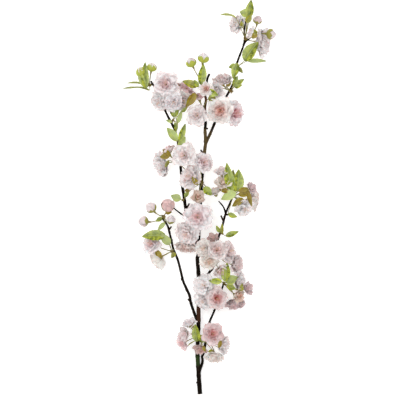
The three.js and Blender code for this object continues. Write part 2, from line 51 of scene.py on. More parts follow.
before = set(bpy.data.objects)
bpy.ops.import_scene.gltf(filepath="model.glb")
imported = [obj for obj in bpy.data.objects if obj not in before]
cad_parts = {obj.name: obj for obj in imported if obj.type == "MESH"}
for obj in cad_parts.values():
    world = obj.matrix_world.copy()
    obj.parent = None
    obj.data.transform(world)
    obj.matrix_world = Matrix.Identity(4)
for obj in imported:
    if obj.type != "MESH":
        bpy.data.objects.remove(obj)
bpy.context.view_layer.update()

# ---------------------------------------------------------------- layout
# Every place is (across, up, height): squares of GRID to the right of the cut end, squares up the
# branch from it, and millimetres above the surface. The solids have the same layout.

MM = 0.001
GRID = 1.8 * MM
UP = Vector((0, 0, 1))
LEFT_REACH = 91.58 * MM  # from the cut end to the bark's furthest point on the left
CUT_EDGE = 0.44 * MM  # from the middle of the cut end to its lowest edge
BARK_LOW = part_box("bark")[0]
CUT_END = Vector((BARK_LOW.x + LEFT_REACH, BARK_LOW.y + CUT_EDGE, 0))

# The woody parts: radii at both ends in mm, then the places that the wood runs through.
WOOD = {
    "stem": ((3.2, 2.35), (
        (0, 0, 3.6), (-1, 14, 6), (-2, 30, 9.5), (-2.5, 45, 14), (-1.5, 72, 23), (-1.5, 92, 29),
        (-1.5, 119, 36), (-2.6, 137, 39), (-0.5, 141, 40), (-1.5, 156, 43), (0, 182, 46),
        (1, 207, 48), (2.5, 222, 49), (4.5, 242, 50), (6, 254, 50))),
    "middle_arm": ((2.2, 1.3), (
        (5.8, 252, 50), (5, 264, 53), (5.5, 271, 55), (5, 287, 56), (6, 294, 57), (5, 300, 57),
        (6.5, 310, 56), (7.5, 316, 55), (9.5, 320, 54))),
    "right_arm": ((2, 1), (
        (5.8, 252, 50), (10, 260, 50), (15, 272, 49), (21, 285, 47), (26, 297, 46), (31, 306, 45),
        (35, 315, 46), (34, 319, 46), (36, 328, 46), (39, 337, 46), (41, 342, 46), (43.5, 349, 46),
        (45, 357, 46), (44, 361, 46), (45.5, 373, 48))),
    "left_arm": ((2.5, 1.1), (
        (-1.5, 150, 42), (-10, 160, 44), (-14, 184, 47), (-16.5, 201, 49), (-17.5, 207, 50),
        (-19, 224, 51), (-21, 244, 51), (-22.5, 254, 50), (-25, 264, 49), (-30, 274, 48),
        (-34.5, 283, 46), (-40, 297, 43), (-49, 313, 40))),
    "left_twig": ((2, 1.2), (
        (-1.8, 73, 23), (-4.5, 78, 24), (-9, 91, 27), (-10.5, 99, 29), (-15, 109, 32),
        (-17, 114, 34), (-22, 134, 38), (-26.5, 145, 40), (-28.5, 154, 41), (-30, 160, 42),
        (-32.5, 169, 42), (-38, 176.5, 42))),
    "right_twig": ((2, 1.2), (
        (-1.4, 102, 32), (8.5, 121, 38), (13, 128, 40), (17, 152, 46), (21, 164, 49),
        (23.5, 173, 50), (26, 182, 50), (32, 196, 49))),
    "low_twig": ((1.8, 1.1), (
        (-1, 22, 8), (2.5, 32, 11), (2, 38, 13), (4, 42, 15), (8, 67.5, 24), (15, 85.5, 30),
        (22, 106, 36), (23.5, 111, 38))),
    "side_twig": ((1.2, 0.9), ((43.2, 349, 46), (45.5, 352.5, 46), (50, 356, 45))),
    "thin_twig": ((0.9, 0.6), ((25.5, 182, 50), (23, 188, 52), (18.5, 193.4, 53))),
    "bud_twig": ((0.9, 0.6), ((-13.6, 181, 46.5), (-17, 179.5, 48), (-22, 183, 51), (-27, 187, 54))),
}

# Short woody spurs with nothing on them, from the wood outwards.
BARE_SPURS = (
    ((-1, 11, 5), (-3.8, 11.5, 6)),
    ((-1.5, 153, 42), (-6.5, 150, 44)),
    ((3.5, 240, 49), (0.6, 244.5, 51)),
    ((5.2, 266, 53), (8, 265.4, 54)),
    ((5.6, 271, 55), (3.6, 270.5, 56)),
    ((-14, 185, 47), (-10.6, 191, 49)),
    ((-31.5, 164, 42), (-28.4, 168, 43)),
    ((25.4, 180, 50), (28.4, 179.6, 51)),
    ((23.6, 173, 50), (20.8, 179, 52)),
    ((-16.6, 113, 33.5), (-19, 116, 35)),
    ((-11.6, 101.5, 30), (-14, 104.5, 31.5)),
    ((-9.6, 92.5, 27.5), (-12, 95.5, 29)),
)

# How pink a bloom is at its rim and at its heart, how warm that pink is, and how much grey
# lilac lies over it, all from 0 to 1.
TONES = {
    "snow": (0.0, 0.05, 0.2, 0.05),
    "cream": (0.02, 0.13, 0.75, 0.04),
    "lilac": (0.02, 0.1, 0.0, 0.12),
    "blush": (0.05, 0.22, 0.3, 0.08),
    "rose": (0.2, 0.5, 0.15, 0.12),
    "flame": (0.0, 0.8, 0.6, 0.1),
    "ember": (0.05, 0.8, 0.05, 0.14),
    "scarlet": (0.24, 0.82, 0.2, 0.34),
    "coral": (0.1, 0.5, 0.6, 0.05),
    "tan": (0.22, 0.72, 1.0, 0.4),
    "dusk": (0.26, 0.52, 0.5, 0.85),
    "candy": (0.05, 0.4, 0.12, 0.06),
    "garnet": (0.12, 1.0, 0.3, 0.35),
    "dawn": (0.34, 0.62, 0.3, 0.3),
    "amber": (0.22, 0.62, 1.0, 0.22),
    "haze": (0.08, 0.25, 0.2, 0.35),
    "peach": (0.03, 0.42, 1.0, 0.08),
    "salmon": (0.06, 0.45, 0.4, 0.2),
    "plum": (0.34, 0.5, 0.0, 0.6),
    "mauve": (0.14, 0.34, 0.1, 0.65),
}
LEAF_TINTS = {"fresh": (0.0, 0.0), "deep": (0.0, 0.3), "soft": (0.4, 0.0), "pale": (0.7, 0.0),
              "olive": (0.0, 0.65), "edge": (0.2, 0.2)}

# Each spur that bears something: where it leaves the wood and where its knob of bud scales sits,
# then its blooms, buds and leaves, with the values that Bloom, Bud and Leaf name below. A direction
# is in degrees, 0 to the right and 90 up the branch, a tilt is in degrees from straight up, and a
# width is in mm. Openness is 1 for a flat bloom, and clad is how far green scales wrap a bud.
SPRAYS = {
    "right_arm_tip": {
        "spur": ((44, 353, 46), (45, 355, 52)),
        "blooms": (
            (36.5, 371, 42, 155, 48, 38, 0.75, "snow"),
            (50.5, 361.5, 62, 150, 80, 27, 0.5, "blush"),
            (62.5, 352.5, 24, -5, 68, 56, 0.85, "snow"),
        ),
        "buds": (
            (57.5, 374, 50, 80, 70, 15, "mauve", 0.5),
            (71, 360, 40, -5, 80, 17, "haze", 0.85),
        ),
        "leaves": (
            (48, 375, 58, 51, 394, 60, 15, "fresh"),
            (50, 379, 57, 39.5, 382, 55, 16, "soft"),
            (46.5, 371, 60, 51, 379, 66, 11, "deep"),
            (36, 376, 54, 20, 379.5, 52, 9, "edge"),
            (43, 366, 52, 41, 373, 54, 6, "deep"),
            (56, 361, 68, 52, 355, 66, 10, "olive"),
            (56, 359, 68, 53, 364, 70, 9, "deep"),
        ),
    },
    "right_arm_high": {
        "spur": ((36.5, 329, 46), (38, 328, 51)),
        "leaves": (
            (44, 333, 54, 58, 352, 56, 24, "fresh"),
            (47, 333, 50, 66.5, 333, 47, 8, "pale"),
            (36, 329, 54, 28.5, 326.5, 54, 9, "fresh"),
            (37, 331, 54, 33, 315, 56, 14, "fresh"),
            (38, 327, 55, 42.5, 321, 56, 7, "deep"),
        ),
    },
    "right_arm_mid": {
        "spur": ((30.5, 305, 45), (31, 303, 50)),
        "blooms": (
            (23, 315, 42, 95, 64, 37, 0.65, "haze"),
            (16.5, 304, 58, 215, 35, 31, 0.55, "snow"),
        ),
        "leaves": (
            (24.5, 308, 50, 19, 311.5, 48, 7, "olive"),
            (26, 308, 50, 31, 311.5, 48, 7, "olive"),
            (33.5, 307, 52, 44, 315, 53, 10, "fresh"),
            (33, 309, 53, 37.5, 318, 57, 9, "fresh"),
            (34, 307, 54, 42, 309, 60, 7, "fresh"),
        ),
    },
    "middle_arm_tip": {
        "spur": ((6.3, 309, 56), (5, 307, 60)),
        "blooms": (
            (6, 305, 75, 100, 18, 28, 0.85, "flame"),
        ),
        "buds": (
            (-9, 331.5, 58, 115, 75, 17, "haze", 1.0),
            (3.5, 336, 60, 80, 75, 18, "lilac", 0.95),
        ),
        "leaves": (
            (1, 309, 62, 3.5, 330, 66, 15, "fresh"),
            (-3, 307, 62, -17.5, 313, 60, 14, "deep"),
            (-1.5, 307, 64, -6, 314, 68, 8, "fresh"),
            (7, 303, 72, 18, 298.5, 73, 13, "fresh"),
        ),
    },
    "middle_arm_mid": {
        "spur": ((5, 288, 56), (3, 287, 60)),
        "blooms": (
            (-3, 279, 76, 100, 14, 43, 1, "blush"),
            (-1, 297.5, 54, 100, 75, 25, 0.4, "plum"),
        ),
        "leaves": (
            (-4.5, 301, 63, -14, 287, 61, 14, "olive"),
            (8, 295, 64, 16, 296, 66, 11, "deep"),
        ),
    },
    "right_arm_low": {
        "spur": ((21, 285, 47), (23, 286, 52)),
        "blooms": (
            (20, 283, 72, 240, 10, 51, 1, "flame"),
            (36.5, 281, 46, 0, 50, 49, 0.95, "ember"),
        ),
    },
    "left_arm_top": {
        "spur": ((-37, 290, 45), (-34, 296, 50)),
        "blooms": (
            (-34.5, 310, 72, 130, 14, 50, 1, "candy"),
            (-41, 292, 52, 215, 36, 42, 1, "snow"),
            (-26, 291, 70, -80, 22, 38, 0.95, "lilac"),
            (-15, 305, 18, 60, 92, 42, 0.9, "plum"),
            (-16.5, 292.5, 54, -30, 42, 38, 0.8, "blush"),
        ),
    },
    "left_arm_tip": {
        "spur": ((-47.5, 310.5, 40.5), (-50.5, 309, 44)),
        "buds": (
            (-59, 322.5, 46, 120, 70, 17, "cream", 1.35),
            (-48, 327, 48, 80, 75, 16, "cream", 1.2),
        ),
        "leaves": (
            (-54, 306, 48, -54.5, 332, 50, 15, "fresh"),
            (-55, 309, 45, -73, 311, 42, 8, "edge"),
            (-50, 304, 45, -77.5, 305.5, 38, 8, "edge"),
            (-55, 307, 47, -61, 325, 50, 12, "soft"),
        ),
    },
    "left_arm_high": {
        "spur": ((-28.5, 271, 48), (-27, 274, 52)),
        "leaves": (
            (-26, 277, 54, -30.5, 286, 58, 6, "fresh"),
            (-25.5, 277, 55, -21, 287, 58, 7, "fresh"),
            (-27.5, 272, 55, -34, 274, 55, 5, "soft"),
            (-18, 282, 54, -13, 287, 54, 6, "fresh"),
            (-25, 272, 53, -24, 262, 50, 6, "fresh"),
            (-22, 271, 54, -18, 284, 55, 8, "pale"),
        ),
    },
    "left_arm_mid": {
        "spur": ((-22, 250, 50.5), (-20.5, 250, 55)),
        "leaves": (
            (-20, 252, 56, -14.5, 270.5, 60, 11, "fresh"),
            (-22.5, 253, 56, -33, 266.5, 54, 15, "soft"),
            (-21, 246, 57, -14.5, 257.5, 60, 12, "soft"),
            (-24, 262, 50, -24, 277, 52, 5, "edge"),
        ),
    },
    "left_arm_low": {
        "spur": ((-20, 232, 51), (-21, 231, 56)),
        "blooms": (
            (-33, 243.5, 54, 125, 100, 33, 0.5, "rose"),
            (-38.5, 230, 21.6, 195, 66, 49, 0.9, "snow"),
            (-17, 239, 80, 170, 22, 48, 1, "blush"),
            (-11, 218, 76, 150, 40, 49, 0.9, "blush"),
        ),
        "leaves": (
            (-30, 238, 64, -37, 245, 66, 12, "olive"),
            (-30, 238, 66, -40, 237, 62, 11, "olive"),
            (-31, 234, 56, -35, 227, 54, 6, "deep"),
        ),
    },
    "left_arm_leaf": {
        "spur": ((-15.4, 193, 48.3), (-17, 194, 53)),
        "leaves": (
            (-19, 195, 56, -29, 199, 58, 14, "pale"),
            (-15, 197, 57, -11, 204, 58, 7, "fresh"),
        ),
    },
    "stem_high": {
        "spur": ((1.2, 209, 48), (2, 212, 54)),
        "blooms": (
            (4.5, 232, 74, 20, 26, 39, 0.9, "candy"),
            (15, 203.4, 57, 110, 66, 28, 0.55, "cream"),
            (-2, 197.5, 66, 60, 15, 26, 0.35, "amber"),
        ),
        "leaves": (
            (3.5, 207, 62, 12, 199, 64, 14, "fresh"),
            (-9, 204.5, 62, -15.5, 203.5, 60, 7, "olive"),
            (-2.5, 209.5, 82, -8, 217.5, 89, 9, "olive"),
        ),
    },
    "stem_middle": {
        "spur": ((-9, 162, 44), (-8, 166, 50)),
        "blooms": (
            (-2.5, 178, 84, 90, 8, 56, 1, "candy"),
            (-13.5, 160.5, 70, 235, 26, 50, 1, "blush"),
            (-14.5, 148, 40, -100, 66, 42, 0.9, "coral"),
        ),
    },
    "left_twig_tip": {
        "spur": ((-36, 175.5, 42), (-36.5, 178, 46)),
        "buds": (
            (-32, 189.5, 56, 95, 25, 23, "dawn", 0.3),
            (-49, 187, 50, 130, 70, 19, "haze", 0.5),
            (-56.5, 173, 44, 175, 75, 18, "haze", 0.5),
            (-29, 175, 54, 80, 50, 15, "lilac", 0.6),
        ),
        "leaves": (
            (-38, 177, 50, -44, 173, 52, 8, "fresh"),
            (-35, 172, 50, -42, 164, 50, 8, "pale"),
            (-34.5, 181.5, 56, -28, 182.5, 56, 8, "olive"),
        ),
    },
    "left_twig_mid": {
        "spur": ((-26, 144, 40), (-28, 143, 45)),
        "blooms": (
            (-49, 151, 50, 150, 32, 39, 0.9, "candy"),
            (-42, 135, 14.2, 215, 118, 40, 0.9, "cream"),
        ),
        "leaves": (
            (-34, 159, 56, -58, 158, 54, 20, "fresh"),
            (-30, 150, 54, -39, 161, 58, 15, "pale"),
            (-25, 142, 47, -28.5, 136.5, 49, 8, "deep"),
            (-40, 138, 46, -44.5, 145, 46, 9, "olive"),
            (-39.5, 137, 46, -41.5, 144.5, 48, 8, "olive"),
        ),
    },
    "right_twig_tip": {
        "spur": ((31.5, 195, 49), (33, 198, 54)),
        "blooms": (
            (23, 213, 62, 100, 40, 34, 0.55, "peach"),
            (52, 207, 58, 30, 55, 24, 0.6, "mauve"),
            (52, 194, 19.5, -5, 68, 46, 0.85, "cream"),
            (45, 185.5, 54, -60, 45, 38, 0.9, "snow"),
            (21, 223, 62, 100, 55, 26, 0.45, "blush"),
        ),
        "leaves": (
            (32, 203, 60, 26.5, 231.5, 66, 18, "fresh"),
            (37, 203, 60, 38.5, 225, 64, 21, "fresh"),
            (35, 202, 54, 33, 225, 58, 14, "deep"),
            (36, 202, 60, 21, 195, 58, 17, "pale"),
            (28, 203, 62, 19, 205, 62, 10, "olive"),
            (38, 203, 62, 50, 206, 62, 9, "olive"),
            (38, 200, 62, 50, 201, 60, 11, "olive"),
            (47, 205, 62, 51.5, 188, 56, 8, "olive"),
            (43, 196, 62, 32, 188, 60, 12, "olive"),
            (28, 181, 56, 37, 177.5, 56, 9, "fresh"),
        ),
    },
    "right_twig_mid": {
        "spur": ((20.5, 163, 49), (22, 161, 54)),
        "leaves": (
            (25.5, 158.5, 58, 38.5, 163, 60, 10, "fresh"),
            (20, 162, 57, 16, 169, 58, 7, "fresh"),
            (22, 161, 56, 22, 171, 58, 6, "deep"),
        ),
    },
    "right_twig_low": {
        "spur": ((15.5, 142, 44), (17, 140, 50)),
        "blooms": (
            (4, 146.5, 68, 200, 22, 38, 0.95, "cream"),
            (17, 145, 84, 60, 14, 40, 0.9, "salmon"),
            (29.5, 143, 56, 10, 48, 42, 0.9, "haze"),
            (9.5, 133, 72, -70, 28, 38, 0.95, "peach"),
            (37, 130, 36, 0, 60, 38, 0.85, "haze"),
            (21, 123, 64, -40, 40, 30, 0.6, "salmon"),
            (13, 157, 74, 110, 45, 22, 0.4, "dusk"),
        ),
    },
    "low_twig_tip": {
        "spur": ((23, 109.5, 37.4), (24, 111, 43)),
        "blooms": (
            (39.5, 112, 15.4, -5, 66, 38, 0.85, "snow"),
            (35, 91, 16.4, -85, 66, 40, 0.9, "mauve"),
            (39, 99, 48, -20, 50, 28, 0.4, "tan"),
            (48, 106.5, 42, 20, 50, 26, 0.4, "mauve"),
        ),
        "leaves": (
            (25, 113, 58, 27, 132, 60, 16, "fresh"),
            (22, 113, 60, 8.5, 114, 60, 11, "fresh"),
            (26, 112, 52, 37.5, 118, 54, 17, "soft"),
            (27, 110, 52, 35.5, 105.5, 53, 12, "fresh"),
            (40.5, 103, 50, 42, 111.5, 50, 7, "deep"),
        ),
    },
    "stem_mid": {
        "spur": ((-1.5, 101, 31), (1, 102, 38)),
        "blooms": (
            (3.5, 110, 58, 140, 24, 46, 1, "snow"),
            (17, 96.5, 66, -30, 14, 44, 1, "garnet"),
            (3, 93.5, 48, 225, 34, 41, 0.95, "snow"),
        ),
    },
    "stem_low": {
        "spur": ((-1.8, 58, 18.5), (-1, 59, 25)),
        "blooms": (
            (-11, 71.5, 40, 115, 60, 28, 0.5, "lilac"),
            (-16, 61, 40, 180, 45, 28, 0.6, "haze"),
            (-18, 51, 26, 205, 56, 30, 0.6, "rose"),
            (13, 61, 52, 30, 12, 43, 1, "scarlet"),
            (23.5, 49, 28, -5, 60, 37, 0.85, "snow"),
            (14, 38, 26, -90, 60, 36, 0.9, "cream"),
            (0, 45, 40, -105, 50, 27, 0.5, "dusk"),
        ),
        "leaves": (
            (-3, 53, 36, -5, 70.5, 42, 15, "fresh"),
            (-4, 54, 31, -15, 45, 30, 4, "edge"),
            (1, 52, 38, 5, 62, 44, 12, "fresh"),
            (-6, 68.5, 42, -13, 67.5, 44, 7, "olive"),
            (18.5, 47, 44, 21, 55, 44, 7, "olive"),
            (3, 49, 48, 5.5, 43, 50, 6, "olive"),
            (13, 44, 38, 8, 43, 38, 6, "deep"),
        ),
    },
}

Bloom = namedtuple("Bloom", "across up height direction tilt width openness tone")
Bud = namedtuple("Bud", "across up height direction tilt width tone clad")
Leaf = namedtuple("Leaf", "across up height tip_across tip_up tip_height width tint")

HALF_OPEN = 0.62  # a bloom opened less is held by its spray's node
BUD_DEPTH = 2.15  # length of a bud, in its radii
SIDE_TILT, SIDE_CUP = 55, 0.38  # blooms tilted further than this are cupped at least so far
TURN = 2.4  # radians that each flower, petal or scale is turned further round than the last
COLLAR = 2.6 * MM  # radius of the knob of bud scales at the end of a spur


def place(across, up, height):
    return CUT_END + Vector((across * GRID, up * GRID, height * MM))


def facing(direction, tilt):
    """The direction that something faces, from its direction seen from above and its tilt."""
    around, polar = math.radians(direction), math.radians(tilt)
    flat = math.sin(polar)
    return Vector((flat * math.cos(around), flat * math.sin(around), math.cos(polar)))


def aimed(direction):
    """The turn that makes Z point in a direction."""
    return UP.rotation_difference(direction).to_matrix().to_4x4()


def bloom_height(openness):
    """The height of a bloom above its foot, in bloom radii."""
    return 0.66 + 0.6 * (1 - openness)


def new_flower(spray, row, height, cup, clad=0.0, node=None):
    """A bloom or a bud from its row. Its height is in its radii."""
    radius = row.width * MM / 2
    return SimpleNamespace(
        spray=spray, node=node, bud=isinstance(row, Bud), radius=radius, depth=height * radius,
        middle=place(row.across, row.up, row.height), faces=facing(row.direction, row.tilt),
        cup=cup, tone=TONES[row.tone], clad=clad)


def walls_round(flower, flowers):
    """The planes that part a flower from the ones that it is pressed against."""
    walls = []
    for other in flowers:
        apart = other.middle - flower.middle
        if other is flower or apart.length > flower.radius + other.radius:
            continue
        share = flower.radius / (flower.radius + other.radius)
        walls.append((flower.middle + apart * share, apart.normalized()))
    return walls


def list_flowers():
    """Every bloom and bud, with its foot, the way it faces and the planes that part it from others."""
    flowers = []
    for spray, parts in SPRAYS.items():
        for number, row in enumerate(parts.get("blooms", ()), 1):
            bloom = Bloom(*row)
            node = f"bloom_{spray}_{number}" if bloom.openness > HALF_OPEN else None
            cup = max(1 - bloom.openness, SIDE_CUP if bloom.tilt > SIDE_TILT else 0)
            flowers.append(new_flower(spray, bloom, bloom_height(bloom.openness), cup, node=node))
        for row in parts.get("buds", ()):
            bud = Bud(*row)
            flowers.append(new_flower(spray, bud, BUD_DEPTH, 1, clad=bud.clad))
    for index, flower in enumerate(flowers):
        flower.index = index
        flower.foot = flower.middle - flower.faces * flower.depth / 2
        turn = Matrix.Rotation(index * TURN, 4, "Z")
        flower.frame = Matrix.Translation(flower.foot) @ aimed(flower.faces) @ turn
        flower.walls = walls_round(flower, flowers)
    return flowers


# ---------------------------------------------------------------- colours and materials

# A Mix node has sockets of one name for each kind of value, so a colour mix's go by number.
AMOUNT, UNDER, OVER, MIXED = 0, 6, 7, 2
# What it is set to: one colour covers another, or one darkens another as shade does.
COVER = {"out": MIXED, "data_type": "RGBA"}
SHADE = {"out": MIXED, "data_type": "RGBA", "blend_type": "MULTIPLY"}
ALL_THREE = slice(3)  # red, green and blue, or X, Y and Z


def colour(code):
    """An sRGB hex value as linear RGBA."""
    parts = [int(code[i:i + 2], 16) / 255 for i in (1, 3, 5)]
    linear = [c / 12.92 if c <= 0.04045 else ((c + 0.055) / 1.055) ** 2.4 for c in parts]
    return (*linear, 1.0)


def per_metre(millimetres):
    """The scale of a pattern that repeats once in so many millimetres."""
    return 1 / (millimetres * MM)


def new_material(name):
    material = bpy.data.materials.new(name)
    material.use_nodes = True
    material.node_tree.nodes.clear()
    return material, material.node_tree


def add(tree, kind, inputs=None, out=0, stops=(), **settings):
    """Adds a node with its settings and links, and gives the output that is asked for.

    Each input is a value or a socket to link from. Stops are a colour ramp's places and colours.
    """
    node = tree.nodes.new("ShaderNode" + kind)
    for name, value in settings.items():
        setattr(node, name, value)
    for key, value in (inputs or {}).items():
        if isinstance(value, bpy.types.NodeSocket):
            tree.links.new(value, node.inputs[key])
        else:
            node.inputs[key].default_value = value
    for index, (position, value) in enumerate(stops):
        elements = node.color_ramp.elements
        element = elements[index] if index < len(elements) else elements.new(1.0)
        element.position = position
        element.color = value
    return node if out is None else node.outputs[out]


def petal_material(settings):
    """Cherry petal: thin, soft and matt. Light glows through it, and fine veins fan to its rim."""
    material, tree = new_material("cherry_petal")
    tint = add(tree, "Attribute", out="Color", attribute_name="tint")
    pink, warm, grey = add(tree, "SeparateColor", {"Color": tint}, out=ALL_THREE)
    spot = add(tree, "Attribute", out="Vector", attribute_name="spot")
    across, along, chance = add(tree, "SeparateXYZ", {"Vector": spot}, out=ALL_THREE)
    cool_side = add(tree, "ValToRGB", {"Fac": pink}, stops=(
        (0.0, settings.rim), (0.3, settings.blush), (0.65, settings.rose), (1.0, settings.heart)))
    warm_side = add(tree, "ValToRGB", {"Fac": pink}, stops=(
        (0.0, colour("#fbf7f0")), (0.3, colour("#f4e3d6")), (0.65, colour("#e8bfa9")),
        (1.0, settings.warm_heart)))
    pinks = add(tree, "Mix", {AMOUNT: warm, UNDER: cool_side, OVER: warm_side}, **COVER)
    haze = add(tree, "Math", {0: grey, 1: 0.7}, operation="MULTIPLY")
    hazy = add(tree, "Mix", {AMOUNT: haze, UNDER: pinks, OVER: settings.lilac}, **SHADE)
    # Clouds about 5 mm wide stand for the shade that a petal's crumpled skin holds.
    where = add(tree, "TexCoord", out="Object")
    mottle = add(tree, "TexNoise", {"Vector": where, "Scale": per_metre(5.0), "Detail": 3.0})
    clouds = add(tree, "ValToRGB", {"Fac": mottle}, stops=((0.48, (0, 0, 0, 1)), (0.66, (1, 1, 1, 1))))
    cloud = add(tree, "Math", {0: clouds, 1: 0.22}, operation="MULTIPLY")
    clouded = add(tree, "Mix", {AMOUNT: cloud, UNDER: hazy, OVER: settings.lilac}, **SHADE)
    # Veins about 1.5 mm apart at the rim, drawn coarser than real ones so that they show.
    fan_along = add(tree, "Math", {0: along, 1: 0.12}, operation="MULTIPLY")
    fan = add(tree, "CombineXYZ", {"X": across, "Y": fan_along})
    veins = add(tree, "TexNoise", {"Vector": fan, "Scale": 16.0, "Detail": 2.0, "Roughness": 0.6})
    vein = add(tree, "Math", {0: veins, 1: 0.22}, operation="MULTIPLY")
    veined = add(tree, "Mix", {AMOUNT: vein, UNDER: clouded, OVER: settings.blush}, **SHADE)
    brightness = add(tree, "Math", {0: chance, 1: 0.12, 2: 0.93}, operation="MULTIPLY_ADD")
    toned = add(tree, "HueSaturation", {"Color": veined, "Value": brightness})
    # A petal's rim is thin and crinkled, so it holds a fine grey line of shade.
    centred = add(tree, "Math", {0: across, 1: 2.0, 2: -1.0}, operation="MULTIPLY_ADD")
    side = add(tree, "Math", {0: centred}, operation="ABSOLUTE")
    tip_line = add(tree, "Math", {0: along, 1: 11.0}, operation="POWER")
    side_line = add(tree, "Math", {0: side, 1: 12.0}, operation="POWER")
    line = add(tree, "Math", {0: tip_line, 1: side_line}, operation="MAXIMUM")
    shaded = add(tree, "Math", {0: line, 1: settings.rim_shade}, operation="MULTIPLY")
    lined = add(tree, "Mix", {AMOUNT: shaded, UNDER: toned, OVER: settings.lilac}, **SHADE)
    crumple = add(tree, "Math", {0: veins, 1: mottle}, operation="ADD")
    bump = add(tree, "Bump", {"Height": crumple, "Strength": 0.35, "Distance": 0.6 * MM})
    shader = add(tree, "BsdfPrincipled", {
        "Base Color": lined, "Roughness": 0.62, "IOR": 1.4, "Specular IOR Level": 0.25,
        "Subsurface Weight": settings.glow, "Subsurface Radius": (1.0, 0.62, 0.58),
        "Subsurface Scale": 1.2 * MM, "Sheen Weight": 0.15, "Sheen Roughness": 0.5, "Normal": bump})
    add(tree, "OutputMaterial", {"Surface": shader}, out=None)
    return material


def stamen_material():
    """Stamens: waxy pale filaments with dusty buff heads."""
    material, tree = new_material("stamen")
    spot = add(tree, "Attribute", out="Vector", attribute_name="spot")
    along = add(tree, "SeparateXYZ", {"Vector": spot}, out="Y")
    tone = add(tree, "ValToRGB", {"Fac": along}, stops=(
        (0.0, colour("#f3dcd4")), (0.6, colour("#efdcc8")), (0.8, colour("#dcbb94")),
        (1.0, colour("#c0987a"))))
    where = add(tree, "TexCoord", out="Object")
    grains = add(tree, "TexNoise", {"Vector": where, "Scale": per_metre(0.6), "Detail": 2.0})
    dust = add(tree, "Math", {0: grains, 1: 0.3}, operation="MULTIPLY")
    dusty = add(tree, "Mix", {AMOUNT: dust, UNDER: tone, OVER: colour("#c9a67c")}, **COVER)
    shader = add(tree, "BsdfPrincipled", {
        "Base Color": dusty, "Roughness": 0.55, "Subsurface Weight": 0.2,
        "Subsurface Scale": 0.5 * MM})
    add(tree, "OutputMaterial", {"Surface": shader}, out=None)
    return material


def stalk_material(settings):
    """Stalks, calyxes and bud scales: smooth green skin, flushed brown in soft patches."""
    material, tree = new_material("green_stalk_skin")
    spot = add(tree, "Attribute", out="Vector", attribute_name="spot")
    _, along, chance = add(tree, "SeparateXYZ", {"Vector": spot}, out=ALL_THREE)
    tint = add(tree, "Attribute", out="Color", attribute_name="tint")
    scale = add(tree, "SeparateColor", {"Color": tint}, out="Red")
    where = add(tree, "TexCoord", out="Object")
    base = add(tree, "ValToRGB", {"Fac": along}, stops=(
        (0.0, colour("#6d5a2c")), (0.25, settings.stalk), (1.0, settings.calyx)))
    patches = add(tree, "TexNoise", {"Vector": where, "Scale": per_metre(7.0), "Detail": 2.0})
    strength = add(tree, "Math", {0: chance, 1: 0.35}, operation="ADD")
    flush = add(tree, "Math", {0: patches, 1: strength}, operation="MULTIPLY")
    flushed = add(tree, "Mix", {AMOUNT: flush, UNDER: base, OVER: colour("#7b5a33")}, **COVER)
    skin = add(tree, "Mix", {AMOUNT: scale, UNDER: flushed, OVER: settings.bud_scale}, **COVER)
    ribs = add(tree, "TexNoise", {"Vector": where, "Scale": per_metre(1.2), "Detail": 2.0})
    bump = add(tree, "Bump", {"Height": ribs, "Strength": 0.3, "Distance": 0.3 * MM})
    shader = add(tree, "BsdfPrincipled", {
        "Base Color": skin, "Roughness": 0.5, "Subsurface Weight": 0.1,
        "Subsurface Scale": 0.8 * MM, "Normal": bump})
    add(tree, "OutputMaterial", {"Surface": shader}, out=None)
    return material


def leaf_veins(tree, off, along, side_veins):
    """A midrib, and side veins that leave it about every 5 mm and sweep towards the tip."""
    sweep = add(tree, "Math", {0: off, 1: -0.55, 2: along}, operation="MULTIPLY_ADD")
    turned = add(tree, "Math", {0: sweep, 1: 2 * math.pi * side_veins}, operation="MULTIPLY")
    wave = add(tree, "Math", {0: turned}, operation="SINE")
    raised = add(tree, "Math", {0: wave, 1: 0.5, 2: 0.5}, operation="MULTIPLY_ADD")
    fine = add(tree, "Math", {0: raised, 1: 8.0}, operation="POWER")
    side = add(tree, "Math", {0: fine, 1: 0.45}, operation="MULTIPLY")
    midrib = add(tree, "Math", {0: off, 1: -14.0, 2: 1.0}, operation="MULTIPLY_ADD")
    both = add(tree, "Math", {0: side, 1: midrib}, operation="MAXIMUM")
    return add(tree, "Clamp", {"Value": both})


